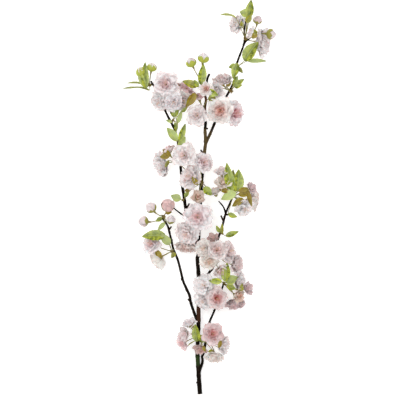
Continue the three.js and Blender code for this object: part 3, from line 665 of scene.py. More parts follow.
def leaf_material(settings):
    """Young cherry leaf: soft satin skin, a pale midrib and side veins sunk into the blade."""
    material, tree = new_material("young_cherry_leaf")
    spot = add(tree, "Attribute", out="Vector", attribute_name="spot")
    across, along, chance = add(tree, "SeparateXYZ", {"Vector": spot}, out=ALL_THREE)
    tint = add(tree, "Attribute", out="Color", attribute_name="tint")
    paleness, olive, lit = add(tree, "SeparateColor", {"Color": tint}, out=ALL_THREE)
    centred = add(tree, "Math", {0: across, 1: 0.5}, operation="SUBTRACT")
    off = add(tree, "Math", {0: centred}, operation="ABSOLUTE")
    veins = leaf_veins(tree, off, along, settings.side_veins)
    where = add(tree, "TexCoord", out="Object")
    cells = add(tree, "TexNoise", {"Vector": where, "Scale": per_metre(6.0), "Detail": 4.0})
    blade = add(tree, "ValToRGB", {"Fac": cells}, stops=(
        (0.38, settings.leaf_dark), (0.6, settings.leaf_colour)))
    # One half of a folded blade turns to the light and looks paler than the other.
    sunny = add(tree, "Math", {0: lit, 1: 0.45}, operation="MULTIPLY")
    halves = add(tree, "Mix", {AMOUNT: sunny, UNDER: blade, OVER: settings.leaf_pale}, **COVER)
    # Painted shade: near the midrib the blade is darkened towards its dark colour, as shade that the
    # fold holds.
    near_fold = add(tree, "Math", {0: off, 1: -1.6, 2: 0.55}, operation="MULTIPLY_ADD")
    crease_shade = add(tree, "Clamp", {"Value": near_fold})
    crease_shaded = add(tree, "Mix", {AMOUNT: crease_shade, UNDER: halves, OVER: settings.leaf_dark}, **COVER)
    pale = add(tree, "Mix", {AMOUNT: paleness, UNDER: crease_shaded, OVER: settings.leaf_pale}, **COVER)
    toned = add(tree, "Mix", {AMOUNT: olive, UNDER: pale, OVER: settings.leaf_olive}, **COVER)
    near_tip = add(tree, "Math", {0: along, 1: 3.0}, operation="POWER")
    tip = add(tree, "Math", {0: near_tip, 1: 0.35}, operation="MULTIPLY")
    tipped = add(tree, "Mix", {AMOUNT: tip, UNDER: toned, OVER: settings.leaf_dark}, **COVER)
    # Veins show less on the bronzed leaves.
    strength = add(tree, "Math", {0: olive, 1: -0.4, 2: 0.5}, operation="MULTIPLY_ADD")
    shown = add(tree, "Math", {0: veins, 1: strength}, operation="MULTIPLY")
    painted = add(tree, "Mix", {AMOUNT: shown, UNDER: tipped, OVER: settings.leaf_pale}, **COVER)
    brightness = add(tree, "Math", {0: chance, 1: 0.25, 2: 0.87}, operation="MULTIPLY_ADD")
    lively = add(tree, "HueSaturation", {"Color": painted, "Value": brightness})
    skin = add(tree, "Math", {0: cells, 1: 0.5}, operation="MULTIPLY")
    relief = add(tree, "Math", {0: skin, 1: veins}, operation="SUBTRACT")
    bump = add(tree, "Bump", {"Height": relief, "Strength": 0.5, "Distance": 0.5 * MM})
    shader = add(tree, "BsdfPrincipled", {
        "Base Color": lively, "Roughness": 0.48, "Specular IOR Level": 0.2,
        "Subsurface Weight": 0.22, "Subsurface Radius": (0.7, 1.0, 0.25),
        "Subsurface Scale": 0.8 * MM, "Normal": bump})
    add(tree, "OutputMaterial", {"Surface": shader}, out=None)
    return material


def bark_material(settings):
    """Cherry bark: dark and dull with age, streaked, and ringed by pale raised pores."""
    material, tree = new_material("cherry_bark")
    spot = add(tree, "Attribute", out="Vector", attribute_name="spot")
    around, along, _ = add(tree, "SeparateXYZ", {"Vector": spot}, out=ALL_THREE)
    tint = add(tree, "Attribute", out="Color", attribute_name="tint")
    young, moss, cut = add(tree, "SeparateColor", {"Color": tint}, out=ALL_THREE)
    where = add(tree, "TexCoord", out="Object")
    streaks = add(tree, "TexNoise", {
        "Vector": where, "Scale": per_metre(9.0), "Detail": 5.0, "Roughness": 0.65})
    skin = add(tree, "ValToRGB", {"Fac": streaks}, stops=(
        (0.3, settings.bark_dark), (0.55, settings.bark), (0.75, settings.bark_light)))
    # Pores are short dashes across the branch, three round it and about 4 mm apart along it,
    # larger than real ones so that they show.
    ring_around = add(tree, "Math", {0: around, 1: 3.0}, operation="MULTIPLY")
    ring_along = add(tree, "Math", {0: along, 1: per_metre(4.0)}, operation="MULTIPLY")
    rings = add(tree, "CombineXYZ", {"X": ring_around, "Y": ring_along})
    dashes = add(tree, "TexVoronoi", {"Vector": rings, "Scale": 1.0}, out="Distance", feature="F1")
    pores = add(tree, "Math", {0: dashes, 1: 0.2}, operation="LESS_THAN")
    pore = add(tree, "Math", {0: pores, 1: 0.45}, operation="MULTIPLY")
    ringed = add(tree, "Mix", {AMOUNT: pore, UNDER: skin, OVER: settings.pore}, **COVER)
    ruddy = add(tree, "Mix", {AMOUNT: young, UNDER: ringed, OVER: settings.bark_ruddy}, **COVER)
    mossy = add(tree, "Mix", {AMOUNT: moss, UNDER: ruddy, OVER: colour("#3f5a2e")}, **COVER)
    # The cut face shows fresh wood in two tones.
    fresh_wood = add(tree, "ValToRGB", {"Fac": streaks}, stops=(
        (0.4, colour("#8a6a48")), (0.6, colour("#b39670"))))
    whole = add(tree, "Mix", {AMOUNT: cut, UNDER: mossy, OVER: fresh_wood}, **COVER)
    rough = add(tree, "TexNoise", {"Vector": where, "Scale": per_metre(1.5), "Detail": 4.0})
    raised = add(tree, "Math", {0: pores, 1: 0.8, 2: rough}, operation="MULTIPLY_ADD")
    bump = add(tree, "Bump", {"Height": raised, "Strength": 0.7, "Distance": 0.5 * MM})
    dullness = add(tree, "Math", {0: rough, 1: 0.3, 2: 0.42}, operation="MULTIPLY_ADD")
    shader = add(tree, "BsdfPrincipled", {
        "Base Color": whole, "Roughness": dullness, "Specular IOR Level": 0.03, "Normal": bump})
    add(tree, "OutputMaterial", {"Surface": shader}, out=None)
    return material


# ---------------------------------------------------------------- shaping

FLOOR_SOFT = 3 * MM  # what would come lower than this is pressed flat on the surface
WALL_SOFT = 0.16  # how far from the plane between two flowers petals bend, in flower radii
SHARP_FROM = 68  # degrees between faces from which their edge shows


def new_shape():
    """An empty mesh under work, with the two attributes that the materials read."""
    bm = bmesh.new()
    tint = bm.verts.layers.float_color.new("tint")
    spot = bm.verts.layers.float_vector.new("spot")
    return SimpleNamespace(bm=bm, tint=tint, spot=spot)


def paint(shape, vert, spot, tint=(0, 0, 0)):
    """Sets what the materials read at a vertex."""
    vert[shape.spot] = spot
    vert[shape.tint] = (*tint, 1)


def faces_of(verts):
    """The faces round some vertices, each once."""
    return list(dict.fromkeys(face for vert in verts for face in vert.link_faces))


def new_sheet(shape, columns, rows):
    """A flat sheet's vertices, each with how far across it is, -1 to 1, and along, 0 to 1."""
    grid = bmesh.ops.create_grid(shape.bm, x_segments=columns, y_segments=rows, size=0.5)
    return [(vert, vert.co.x * 2, vert.co.y + 0.5) for vert in grid["verts"]]


def sheet_faces(sheet):
    return faces_of([vert for vert, _, _ in sheet])


def above_floor(point, thickness):
    """Presses a point that is too low onto the surface, softly."""
    height = point.z - thickness
    if height < FLOOR_SOFT:
        point.z = FLOOR_SOFT * math.exp(height / FLOOR_SOFT - 1) + thickness
    return point


def behind_walls(point, flower):
    """Holds a point of a flower back from the flowers that it is pressed against."""
    soft = WALL_SOFT * flower.radius
    for origin, towards in flower.walls:
        ahead = (point - origin).dot(towards) + soft
        if ahead > 0:
            point = point - towards * (ahead - soft * math.tanh(ahead / soft))
    return point


def thicken(shape, faces, thickness):
    """Gives sheets of faces a thickness, half on either side."""
    bm = shape.bm
    bmesh.ops.recalc_face_normals(bm, faces=faces)
    front = list(dict.fromkeys(vert for face in faces for vert in face.verts))
    for vert in front:
        vert.normal_update()
    out = {tuple(vert.co): vert.normal * thickness / 2 for vert in front}
    grown = bmesh.ops.extrude_face_region(bm, geom=faces, use_keep_orig=True)["geom"]
    back = [item for item in grown if isinstance(item, bmesh.types.BMVert)]
    for vert in back:
        vert.co -= out[tuple(vert.co)]
    for vert in front:
        vert.co += out[tuple(vert.co)]
    solid = faces_of((*front, *back))
    bmesh.ops.recalc_face_normals(bm, faces=solid)
    return solid


def add_piece(name, shape, materials, node):
    """Makes a finished mesh a piece that rides on the sprig and stands for a CAD node."""
    limit = math.radians(SHARP_FROM)
    for face in shape.bm.faces:
        face.smooth = True
    for edge in shape.bm.edges:
        edge.smooth = edge.calc_face_angle(0) < limit
    mesh = bpy.data.meshes.new(name)
    shape.bm.to_mesh(mesh)
    shape.bm.free()
    for material in materials:
        mesh.materials.append(material)
    piece = bpy.data.objects.new(name, mesh)
    bpy.context.scene.collection.objects.link(piece)
    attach(piece, "root")
    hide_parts(node)
    return piece


def ring_frames(points):
    """A frame for a ring at each point of a path, with no twist from one to the next."""
    tangents = [(after - before).normalized() for before, after in pairwise(points)]
    tangents.append(tangents[-1])
    normal = tangents[0].orthogonal().normalized()
    frames = []
    for index, (point, tangent) in enumerate(zip(points, tangents)):
        if index:
            tangent = (tangent + tangents[index - 1]).normalized()
        normal = (normal - tangent * normal.dot(tangent)).normalized()
        turned = Matrix((normal, tangent.cross(normal), tangent)).transposed().to_4x4()
        frames.append(Matrix.Translation(point) @ turned)
    return frames


def add_tube(shape, points, radii, sides, mark):
    """A closed tube through points, ring by ring. mark(vert, step, around) sets its attributes."""
    bm = shape.bm
    frames = [turned @ Matrix.Diagonal((r, r, 1, 1)) for turned, r in zip(ring_frames(points), radii)]
    start = bmesh.ops.create_circle(bm, segments=sides, radius=1, cap_ends=True, matrix=frames[0])
    ring = start["verts"]
    edges = list(dict.fromkeys(edge for vert in ring for edge in vert.link_edges))
    steps = [ring]
    for before, after in pairwise(frames):
        grown = bmesh.ops.extrude_edge_only(bm, edges=edges)["geom"]
        ring = [item for item in grown if isinstance(item, bmesh.types.BMVert)]
        fresh = set(ring)
        edges = [item for item in grown if isinstance(item, bmesh.types.BMEdge)
                 and item.verts[0] in fresh and item.verts[1] in fresh]
        bmesh.ops.transform(bm, matrix=after @ before.inverted(), verts=ring)
        steps.append(ring)
    bmesh.ops.contextual_create(bm, geom=edges)
    for step, verts in enumerate(steps):
        inverse = frames[step].inverted()
        for vert in verts:
            local = inverse @ vert.co
            mark(vert, step, math.atan2(local.y, local.x) / (2 * math.pi) + 0.5)
    return steps


def smooth_path(points, spacing):
    """Points about so far apart on a smooth curve through the given ones."""
    path = [points[0]]
    ends = [points[0]] + list(points) + [points[-1]]
    for before, here, there, after in zip(ends, ends[1:], ends[2:], ends[3:]):
        count = max(2, round((there - here).length / spacing) + 1)
        first = here + (there - before) / 6
        second = there - (after - here) / 6
        path += interpolate_bezier(here, first, second, there, count)[1:]
    return path


# ---------------------------------------------------------------- bark

BARK_SEED = 7
RINGS_EVERY = 4 * MM  # along the wood
STEM_SIDES, TWIG_SIDES, SPUR_SIDES = 14, 10, 8
BARK_SWELL = 1.1  # radius with bark, of the wood's
ROUGH_SKIN = 0.5 * MM  # that rough bark adds to that
RIPPLE = 0.1 * MM  # how rough the skin is
UNEVEN = 0.07  # how far the wood swells and narrows, of its radius
KNOT = 0.2  # how far it swells at a scar
SCAR_SPACING = 17 * MM  # between the small scars that old leaves left
SCAR_RUDDY = 0.15  # how much redder a scar is than the bark round it
BRANCH_COLLAR, COLLAR_REACH = 0.5, 6 * MM  # how much wider a branch starts, and for how far
SPUR_START, SPUR_END = 1.9 * MM, 1.35 * MM
SPUR_RING = 0.18 * MM  # the rings that each year leaves round a spur
SPUR_RUDDY = 0.12  # how ruddy the young bark of a spur is
CUT_RIM, CUT_BULGE = 0.5 * MM, 0.2 * MM  # bark round the cut, and how far its wood stands out

# Where the bark isn't near black: the wood, from and to (squares up), how ruddy and how mossy.
WOOD_TINTS = (
    ("stem", 29, 38, 0.0, 0.35),
    ("stem", 72, 104, 0.3, 0.0),
    ("stem", 240, 262, 0.65, 0.3),
    ("middle_arm", 250, 265, 0.65, 0.3),
    ("middle_arm", 276, 300, 0.5, 0.0),
    ("right_arm", 250, 262, 0.4, 0.2),
)


def wood_tint(name, point):
    """How ruddy and how mossy the bark is at a point."""
    up = (point.y - CUT_END.y) / GRID
    for wood, first, last, ruddy, mossy in WOOD_TINTS:
        if wood == name and first < up < last:
            return ruddy, mossy
    return 0.0, 0.0


def wood_widths(name, radii, points, reach):
    """The wood's radius at each of its points."""
    start, end = (radius * MM for radius in radii)
    widths = []
    for along, point in zip(reach, points):
        radius = start + (end - start) * along / reach[-1]
        knot = KNOT * max(0.0, math.cos(2 * math.pi * along / SCAR_SPACING)) ** 6
        uneven = UNEVEN * noise.noise(point * per_metre(11))
        collar = 0.0 if name == "stem" else BRANCH_COLLAR * math.exp(-along / COLLAR_REACH)
        widths.append(radius * (BARK_SWELL + knot + uneven + collar) + ROUGH_SKIN)
    return widths


def add_wood(shape, name, radii, places, rng):
    """One length of wood with its knots, scars and the collar where it branches off."""
    points = smooth_path([place(*where) for where in places], RINGS_EVERY)
    reach = [0.0]
    for before, after in pairwise(points):
        reach.append(reach[-1] + (after - before).length)
    widths = wood_widths(name, radii, points, reach)

    def mark(vert, step, around):
        paint(shape, vert, (around, reach[step], 0), (*wood_tint(name, vert.co), 0))

    steps = add_tube(shape, points, widths, STEM_SIDES if name == "stem" else TWIG_SIDES, mark)
    for ring in steps:
        for vert in ring:
            vert.co += vert.normal * RIPPLE * noise.noise(vert.co * per_metre(3))
            vert.co = above_floor(vert.co, 0) if vert.co.z < 0 else vert.co
    add_scars(shape, name, points, widths, reach, rng)
    return steps


def add_scars(shape, name, points, widths, reach, rng):
    """Small pointed buds and scars, in turn on either side of the wood."""
    turn = rng.random() * 6
    following = SCAR_SPACING
    for (before, after), radius, along in zip(pairwise(points), widths, reach):
        if along < following or along > reach[-1] - SCAR_SPACING:
            continue
        following = along + SCAR_SPACING * rng.uniform(0.8, 1.5)
        turn += TURN
        forward = (after - before).normalized()
        outward = (Matrix.Rotation(turn, 3, forward) @ forward.orthogonal()).normalized()
        lean = (outward + forward * 1.2).normalized()
        seat = Matrix.Translation(before + outward * radius * 0.75) @ aimed(lean)
        scar = bmesh.ops.create_uvsphere(
            shape.bm, u_segments=8, v_segments=5, radius=rng.uniform(0.9, 1.25) * MM,
            matrix=seat @ Matrix.Diagonal((1, 1, 1.9, 1)))
        ruddy, mossy = wood_tint(name, before)
        for vert in scar["verts"]:
            paint(shape, vert, (rng.random(), along, 0), (ruddy + SCAR_RUDDY, mossy, 0))


def cut_face(shape, first_ring):
    """Sets the sawn wood into the end of the stem, standing out a little from its bark."""
    cap = next(face for face in first_ring[0].link_faces if len(face.verts) > 4)
    bmesh.ops.inset_individual(shape.bm, faces=[cap], thickness=CUT_RIM)
    for vert in cap.verts:
        vert[shape.tint] = (0, 0, 1, 1)
        vert.co += cap.normal * CUT_BULGE


def add_spur(shape, start, end):
    """A short ringed spur."""
    points = smooth_path([place(*start), place(*end)], 1.5 * MM)
    last = len(points) - 1
    radii = [SPUR_START + (SPUR_END - SPUR_START) * step / last + (SPUR_RING if step % 2 else 0)
             for step in range(last + 1)]

    def mark(vert, step, around):
        paint(shape, vert, (around, step * MM, 0), (SPUR_RUDDY, 0, 0))

    add_tube(shape, points, radii, SPUR_SIDES, mark)


def make_bark(settings):
    """The wood and all its spurs, as one piece."""
    shape = new_shape()
    rng = random.Random(BARK_SEED)
    for name, (radii, places) in WOOD.items():
        steps = add_wood(shape, name, radii, places, rng)
        if name == "stem":
            cut_face(shape, steps[0])
    for start, end in (*BARE_SPURS, *(parts["spur"] for parts in SPRAYS.values())):
        add_spur(shape, start, end)
    bmesh.ops.recalc_face_normals(shape.bm, faces=shape.bm.faces)
    return add_piece("branch_bark", shape, [bark_material(settings)], "bark")


# ---------------------------------------------------------------- flowers

# The layers of a double bloom, from the outside: petals, reach, height, height added as it is
# cupped, half width and ruffle, in bloom radii.
Layer = namedtuple("Layer", "petals reach height lift half_width ruffle")
LAYERS = (
    Layer(5, 1.06, 0.12, 0.97, 0.52, 0.07),
    Layer(6, 0.95, 0.27, 0.9, 0.45, 0.09),
    Layer(6, 0.77, 0.42, 0.78, 0.38, 0.1),
    Layer(6, 0.56, 0.54, 0.68, 0.3, 0.1),
    Layer(4, 0.33, 0.6, 0.6, 0.22, 0.08),
)
FLOWER_SEED = 11
LAYER_TURN = 0.65  # radians from one layer to the next
PETAL_COLUMNS, PETAL_ROWS = 8, 6
PETAL_FOOT = (0.06, 0.03)  # how far from the bloom's axis and how high a petal starts, in bloom radii
WIDEST = 0.7  # how far along a petal its widest part is
CLAW = 0.24  # width of its foot, of its widest
TROUGH = 0.22  # how far its sides curl up
NOTCH_WIDTH = 0.2  # of the notch at its tip, in half widths
CORNERS = 0.26  # how far its corners are rounded back
CRUMPLE = 0.11  # how far it is crumpled out of its smooth shape, in bloom radii
HEART_REACH = 0.38  # how far the heart's pink reaches, in bloom radii
BUD_PETALS, BUD_COLUMNS, BUD_ROWS = 6, 6, 7
BUD_CORE = (0.84, 0.84, 0.93, 1)  # size of the round core of a bud, in its radii
STAMENS = 8
FILAMENT_FOOT, FILAMENT_TOP, ANTHER = 0.22 * MM, 0.14 * MM, 0.55 * MM  # radii


def unit(value):
    """A value held between 0 and 1."""
    return min(max(value, 0), 1)


def bud_radius(along):
    """A bud's radius from its foot, 0, to its tip, 1, in its greatest radii."""
    return math.sin(math.pi * (0.02 + 0.965 * along ** 0.85)) ** 0.75


def petal_width(along):
    """A petal's half width, of its widest: a narrow claw that opens to a broad blade."""
    if along < WIDEST:
        return CLAW + (1 - CLAW) * math.sin(math.pi / 2 * along / WIDEST)
    return 1 - 0.3 * ((along - WIDEST) / (1 - WIDEST)) ** 2


def arc(t, foot, belly, tip):
    """Where a curve from foot to tip by way of belly is at t, and its slope there."""
    value = 2 * t * (1 - t) * belly + t * t * tip + (1 - t) ** 2 * foot
    return value, 2 * (1 - t) * (belly - foot) + 2 * t * (tip - belly)


def draw_petal(layer, cup, ruffle, rng):
    """One petal's own measures, in bloom radii: no two petals are alike."""
    petal = SimpleNamespace()
    petal.tip = (layer.reach * rng.uniform(0.9, 1.06),
                 layer.height + layer.lift * cup + rng.uniform(-0.07, 0.07))
    petal.belly = (petal.tip[0] * (0.55 + 0.4 * min(cup, 1)), petal.tip[1] * rng.uniform(0.15, 0.45))
    petal.reflex = rng.uniform(0, 0.2) * layer.reach * (1 - cup)
    petal.notch = rng.uniform(0.06, 0.16)
    petal.phases = (rng.uniform(0, 6.3), rng.uniform(0, 6.3))
    petal.skew = rng.uniform(-0.12, 0.12) * layer.reach
    petal.width = layer.half_width * rng.uniform(0.88, 1.1)
    petal.ruffle = layer.ruffle * ruffle * rng.uniform(0.6, 1.5)
    petal.teeth = [rng.uniform(-0.05, 0.03) for _ in range(PETAL_COLUMNS + 1)]
    petal.seed = Vector((rng.uniform(0, 99), rng.uniform(0, 99), 0))
    petal.chance = rng.random()
    petal.blush = rng.uniform(-0.04, 0.05)
    return petal


def petal_rise(petal, u, v, across, cup):
    """How far a petal's blade stands off its middle line: trough, ruffle, crumple and curled tip."""
    first, second = petal.phases
    trough = TROUGH * across * across / max(petal.width, 0.1) * (0.6 + cup)
    wave = petal.ruffle * v * v * (
        math.sin(3.4 * u + first) * (0.4 + abs(u)) + 0.5 * math.sin(6 * v + 2 * u + second))
    crumple = CRUMPLE * v * noise.noise(petal.seed + Vector((u * 1.7, v * 2.4, 0)))
    return trough + wave + crumple - petal.reflex * v ** 4


def petal_point(petal, u, v, cup):
    """Where a point of a petal is from its bloom's foot: outwards, across and up, in bloom radii."""
    notch = petal.notch * math.exp(-(u / NOTCH_WIDTH) ** 2) * v ** 5
    t = v - notch - CORNERS * abs(u) ** 2.6 * v ** 3
    t += petal.teeth[round((u + 1) * PETAL_COLUMNS / 2)] * v ** 4
    out, slope_out = arc(t, PETAL_FOOT[0], petal.belly[0], petal.tip[0])
    high, slope_up = arc(t, PETAL_FOOT[1], petal.belly[1], petal.tip[1])
    slope = math.hypot(slope_out, slope_up)
    across = u * petal.width * petal_width(v)
    rise = petal_rise(petal, u, v, across, cup)
    out -= slope_up / slope * rise + across * across / (2 * (out + 0.5))
    high += slope_out / slope * rise
    return out, across + petal.skew * v * v, high


def add_petal(shape, flower, layer, turn, rng, settings):
    """One petal: a sheet drawn out to a notched, cupped and ruffled blade."""
    petal = draw_petal(layer, flower.cup, settings.ruffle, rng)
    rim, heart, warm, grey = flower.tone
    spin = Matrix.Rotation(turn, 4, "Z")
    sheet = new_sheet(shape, PETAL_COLUMNS, PETAL_ROWS)
    for vert, u, v in sheet:
        spot = petal_point(petal, u, v, flower.cup)
        point = flower.frame @ (spin @ (Vector(spot) * flower.radius))
        vert.co = above_floor(behind_walls(point, flower), settings.petal)
        near = math.exp(-(max(spot[0], 0) / HEART_REACH) ** 2)
        foot = (0.04 + 0.12 * heart) * (1 - v) ** 2
        pink = unit(rim + (heart - rim) * near + foot + petal.blush)
        paint(shape, vert, (u / 2 + 0.5, v, petal.chance), (pink, warm, grey * (1 - 0.6 * near)))
    return sheet_faces(sheet)


def add_bud_core(shape, flower, settings):
    """The round core that a bud's petals are wrapped round."""
    rim, heart, warm, grey = flower.tone
    middle = flower.frame @ Matrix.Translation((0, 0, flower.depth * 0.53))
    core = bmesh.ops.create_uvsphere(
        shape.bm, u_segments=10, v_segments=8, radius=flower.radius,
        matrix=middle @ Matrix.Diagonal(BUD_CORE))
    for vert in core["verts"]:
        vert.co = above_floor(vert.co, settings.petal)
        paint(shape, vert, (0.5, 0.5, 0.5), (rim + 0.5 * (heart - rim), warm, grey))


def add_bud_petal(shape, flower, index, rng, settings):
    """A broad petal wrapped round a bud, a little loose at its rim."""
    rim, heart, warm, grey = flower.tone
    turn = index * TURN
    inner = index // 3
    chance = rng.random()
    wide = rng.uniform(0.85, 1.05)
    loose = rng.uniform(-0.05, 0.12)
    teeth = [rng.uniform(-0.04, 0.03) for _ in range(BUD_COLUMNS + 1)]
    seed = Vector((rng.uniform(0, 99), 0, 0))
    sheet = new_sheet(shape, BUD_COLUMNS, BUD_ROWS)
    for vert, u, v in sheet:
        tooth = teeth[round((u + 1) * BUD_COLUMNS / 2)]
        top = v * (1 - 0.1 * inner) - 0.1 * abs(u) ** 3 * v + tooth * v ** 3
        r = (1 + 0.06 * inner) * bud_radius(min(top, 1)) * (1 + 0.06 * u)
        r += loose * v ** 4 + 0.1 * v * noise.noise(seed + Vector((u * 1.5, v * 2, 0)))
        around = turn + u * wide * (1.0 - 0.3 * v)
        high = BUD_DEPTH * (0.03 + 0.96 * top)
        point = Vector((r * math.cos(around), r * math.sin(around), high)) * flower.radius
        point = behind_walls(flower.frame @ point, flower)
        vert.co = above_floor(point, settings.petal)
        pink = unit(rim + (heart - rim) * (0.3 + 0.6 * (1 - v)) + 0.08 * (1 - abs(u)))
        paint(shape, vert, (u / 2 + 0.5, v, chance), (pink, warm, 0.25 + 0.7 * grey))
    return sheet_faces(sheet)


def add_stamens(shape, flower, rng):
    """A ring of stamens in the heart of a bloom."""
    for _ in range(STAMENS):
        tall = 0.55 + 0.5 * flower.cup + rng.uniform(-0.12, 0.04)
        lean = facing(rng.uniform(0, 360), rng.uniform(4, 24))
        length = tall * flower.radius
        foot = flower.frame @ Matrix.Translation((0, 0, 0.1 * flower.radius)) @ aimed(lean)
        filament = bmesh.ops.create_cone(
            shape.bm, cap_ends=True, segments=4, radius1=FILAMENT_FOOT, radius2=FILAMENT_TOP,
            depth=length, matrix=foot @ Matrix.Translation((0, 0, length / 2)))
        head = bmesh.ops.create_icosphere(
            shape.bm, subdivisions=1, radius=ANTHER,
            matrix=foot @ Matrix.Translation((0, 0, length)) @ Matrix.Diagonal((1, 1, 1.4, 1)))
        for part, along in ((filament, 0.3), (head, 0.95)):
            for vert in part["verts"]:
                vert.co = above_floor(vert.co, 0.1 * MM)
                paint(shape, vert, (0.5, along, rng.random()), (0.2, 0.5, 0))
                for face in vert.link_faces:
                    face.material_index = 1


def add_flower(shape, flower, settings):
    """All the petals of one flower, with its stamens if it is wide open."""
    rng = random.Random(flower.index + FLOWER_SEED)
    faces = []
    if flower.bud:
        add_bud_core(shape, flower, settings)
        for index in range(BUD_PETALS):
            faces += add_bud_petal(shape, flower, index, rng, settings)
    else:
        layers = LAYERS if flower.node else LAYERS[::2]
        for number, layer in enumerate(layers):
            for index in range(layer.petals):
                turn = 2 * math.pi * (index + rng.uniform(-0.12, 0.12)) / layer.petals
                faces += add_petal(shape, flower, layer, turn + number * LAYER_TURN, rng, settings)
    thicken(shape, faces, settings.petal)
    if flower.node and flower.cup < SIDE_CUP:
        add_stamens(shape, flower, rng)


def make_blooms(flowers, settings):
    """Each open bloom is a piece, and the buds and half-open blooms of a spray are one."""
    materials = [petal_material(settings), stamen_material()]
    for flower in flowers:
        if flower.node:
            shape = new_shape()
            add_flower(shape, flower, settings)
            add_piece(flower.node.replace("bloom", "blossom"), shape, materials, flower.node)
    for spray in SPRAYS:
        held = [flower for flower in flowers if flower.spray == spray and not flower.node]
        if held:
            shape = new_shape()
            for flower in held:
                add_flower(shape, flower, settings)
            add_piece(f"buds_{spray}", shape, materials, f"spray_{spray}")


# ---------------------------------------------------------------- stalks and leaves

SPRAY_SEED = 100
STALK_RADIUS, STALK_STEPS, STALK_SIDES = 0.85 * MM, 14, 7
LAST_STRAIGHT = 0.45  # how much of a flower's stalk runs straight up to it
CALYX_SHARE, CALYX_MOST = 0.16, 4.2 * MM  # a calyx's radius, of the flower's width, and at most
CALYX_DEPTH = 7 * MM
SEPALS, SEPAL_WIDTH, SEPAL_BEND = 5, 0.46, -0.06  # how many, and their shape, of their length
SCALE_THICKNESS = 0.35 * MM  # of sepals and bud scales
WELL_CLAD, ALL_CLAD = 0.75, 0.9  # buds clad more than this have loose scales, and fresh green ones
LOOSE_SCALE, TIGHT_SCALE = 1.16, 1.08  # how far scales are from a bud's axis, in its radii
KNOB_SCALES, KNOB_SHARE = 7, 0.8  # scales of a spray's knob, and radius of its ball, of its collar
KNOB_SCALE = (4.8 * MM, 1.6 * MM, 1 * MM)  # length, half width and bend
TUFT_KNOB = 0.65  # size of the knob that bears leaves alone, of one that bears flowers
LEAF_STALK, LEAF_STALK_SIDES = 0.6 * MM, 6
LARGE_LEAF = 9  # mm wide, from which a leaf has more rows and columns
EDGE_ROLL = 1.1  # radians that a leaf seen on its edge is rolled
MARGIN = 0.35 * MM  # half width of a leaf at its very foot and tip


def leaving(root, target):
    """Where something that heads for a point leaves the knob at a root."""
    return root + (target - root).normalized() * COLLAR * 0.7


def add_blade(shape, seat, length, width, bend, chance):
    """A small pointed blade, such as a sepal or a bud scale, lying along its seat's X."""
    sheet = new_sheet(shape, 2, 4)
    for vert, u, v in sheet:
        across = u * width * (1 - v ** 1.6) ** 0.8
        point = Vector((length * v, across, bend * v * v + 0.35 * abs(across)))
        vert.co = above_floor(seat @ point, 0.3 * MM)
        paint(shape, vert, (u / 2 + 0.5, 0.6 + 0.4 * v, chance))
    return sheet_faces(sheet)


def add_stalk(shape, root, flower, calyx, chance):
    """A flower's stalk, and the calyx that it widens into."""
    end = flower.foot - flower.faces * 0.2 * MM
    bend = end - flower.faces * LAST_STRAIGHT * (end - root).length
    start = leaving(root, bend)
    first, second = start.lerp(bend, 2 / 3), end.lerp(bend, 2 / 3)
    points = interpolate_bezier(start, first, second, end, STALK_STEPS)
    radii = []
    for point in points:
        flare = max(0.0, 1 - (end - point).length / CALYX_DEPTH) ** 1.5
        radii.append(STALK_RADIUS + (calyx * 0.8 - STALK_RADIUS) * flare)

    def mark(vert, step, around):
        paint(shape, vert, (around, 0.1 + 0.9 * step / (len(points) - 1), chance * 0.6))
        vert.co = above_floor(vert.co, 0.1 * MM)

    add_tube(shape, points, radii, STALK_SIDES, mark)


def add_bud_scale(shape, flower, turn, length):
    """A sepal that hugs the side of a bud."""
    depth = BUD_DEPTH * flower.radius
    off = LOOSE_SCALE if flower.clad > WELL_CLAD else TIGHT_SCALE
    green = 1 if flower.clad > ALL_CLAD else 0.3
    sheet = new_sheet(shape, 4, 5)
    for vert, u, v in sheet:
        along = min(v * length / depth, 1)
        r = off * bud_radius(along)
        around = u * 0.7 * (1 - v ** 3.5) ** 0.6
        point = Vector((r * math.cos(around), r * math.sin(around), BUD_DEPTH * along))
        point = flower.frame @ (turn @ (point * flower.radius))
        vert.co = above_floor(point, 0.4 * MM)
        paint(shape, vert, (u / 2 + 0.5, 0.7 + 0.3 * v, 0.25), (green, 0, 0))
    return sheet_faces(sheet)


def add_flower_stalk(shape, root, flower, rng):
    """A stalk with its calyx, and the sepals under or around the flower."""
    calyx = min(CALYX_SHARE * 2 * flower.radius, CALYX_MOST)
    chance = rng.random()
    add_stalk(shape, root, flower, calyx, chance)
    if flower.bud:
        length = flower.radius * (0.55 + 1.1 * flower.clad)
    else:
        seen_from_side = unit(1 - 2 * flower.faces.z)
        length = flower.radius * (0.55 + 0.35 * seen_from_side)
    faces = []
    for index in range(SEPALS):
        turn = Matrix.Rotation(2 * math.pi * index / SEPALS + rng.uniform(-0.1, 0.1), 4, "Z")
        if flower.bud:
            faces += add_bud_scale(shape, flower, turn, length)
            continue
        tilt = Matrix.Rotation(-(0.15 + 1.2 * flower.cup), 4, "Y")
        foot = Matrix.Translation((calyx * 0.45, 0, -0.3 * MM))
        seat = flower.frame @ turn @ foot @ tilt
        faces += add_blade(shape, seat, length, SEPAL_WIDTH * length, SEPAL_BEND * length, chance)
    thicken(shape, faces, SCALE_THICKNESS)


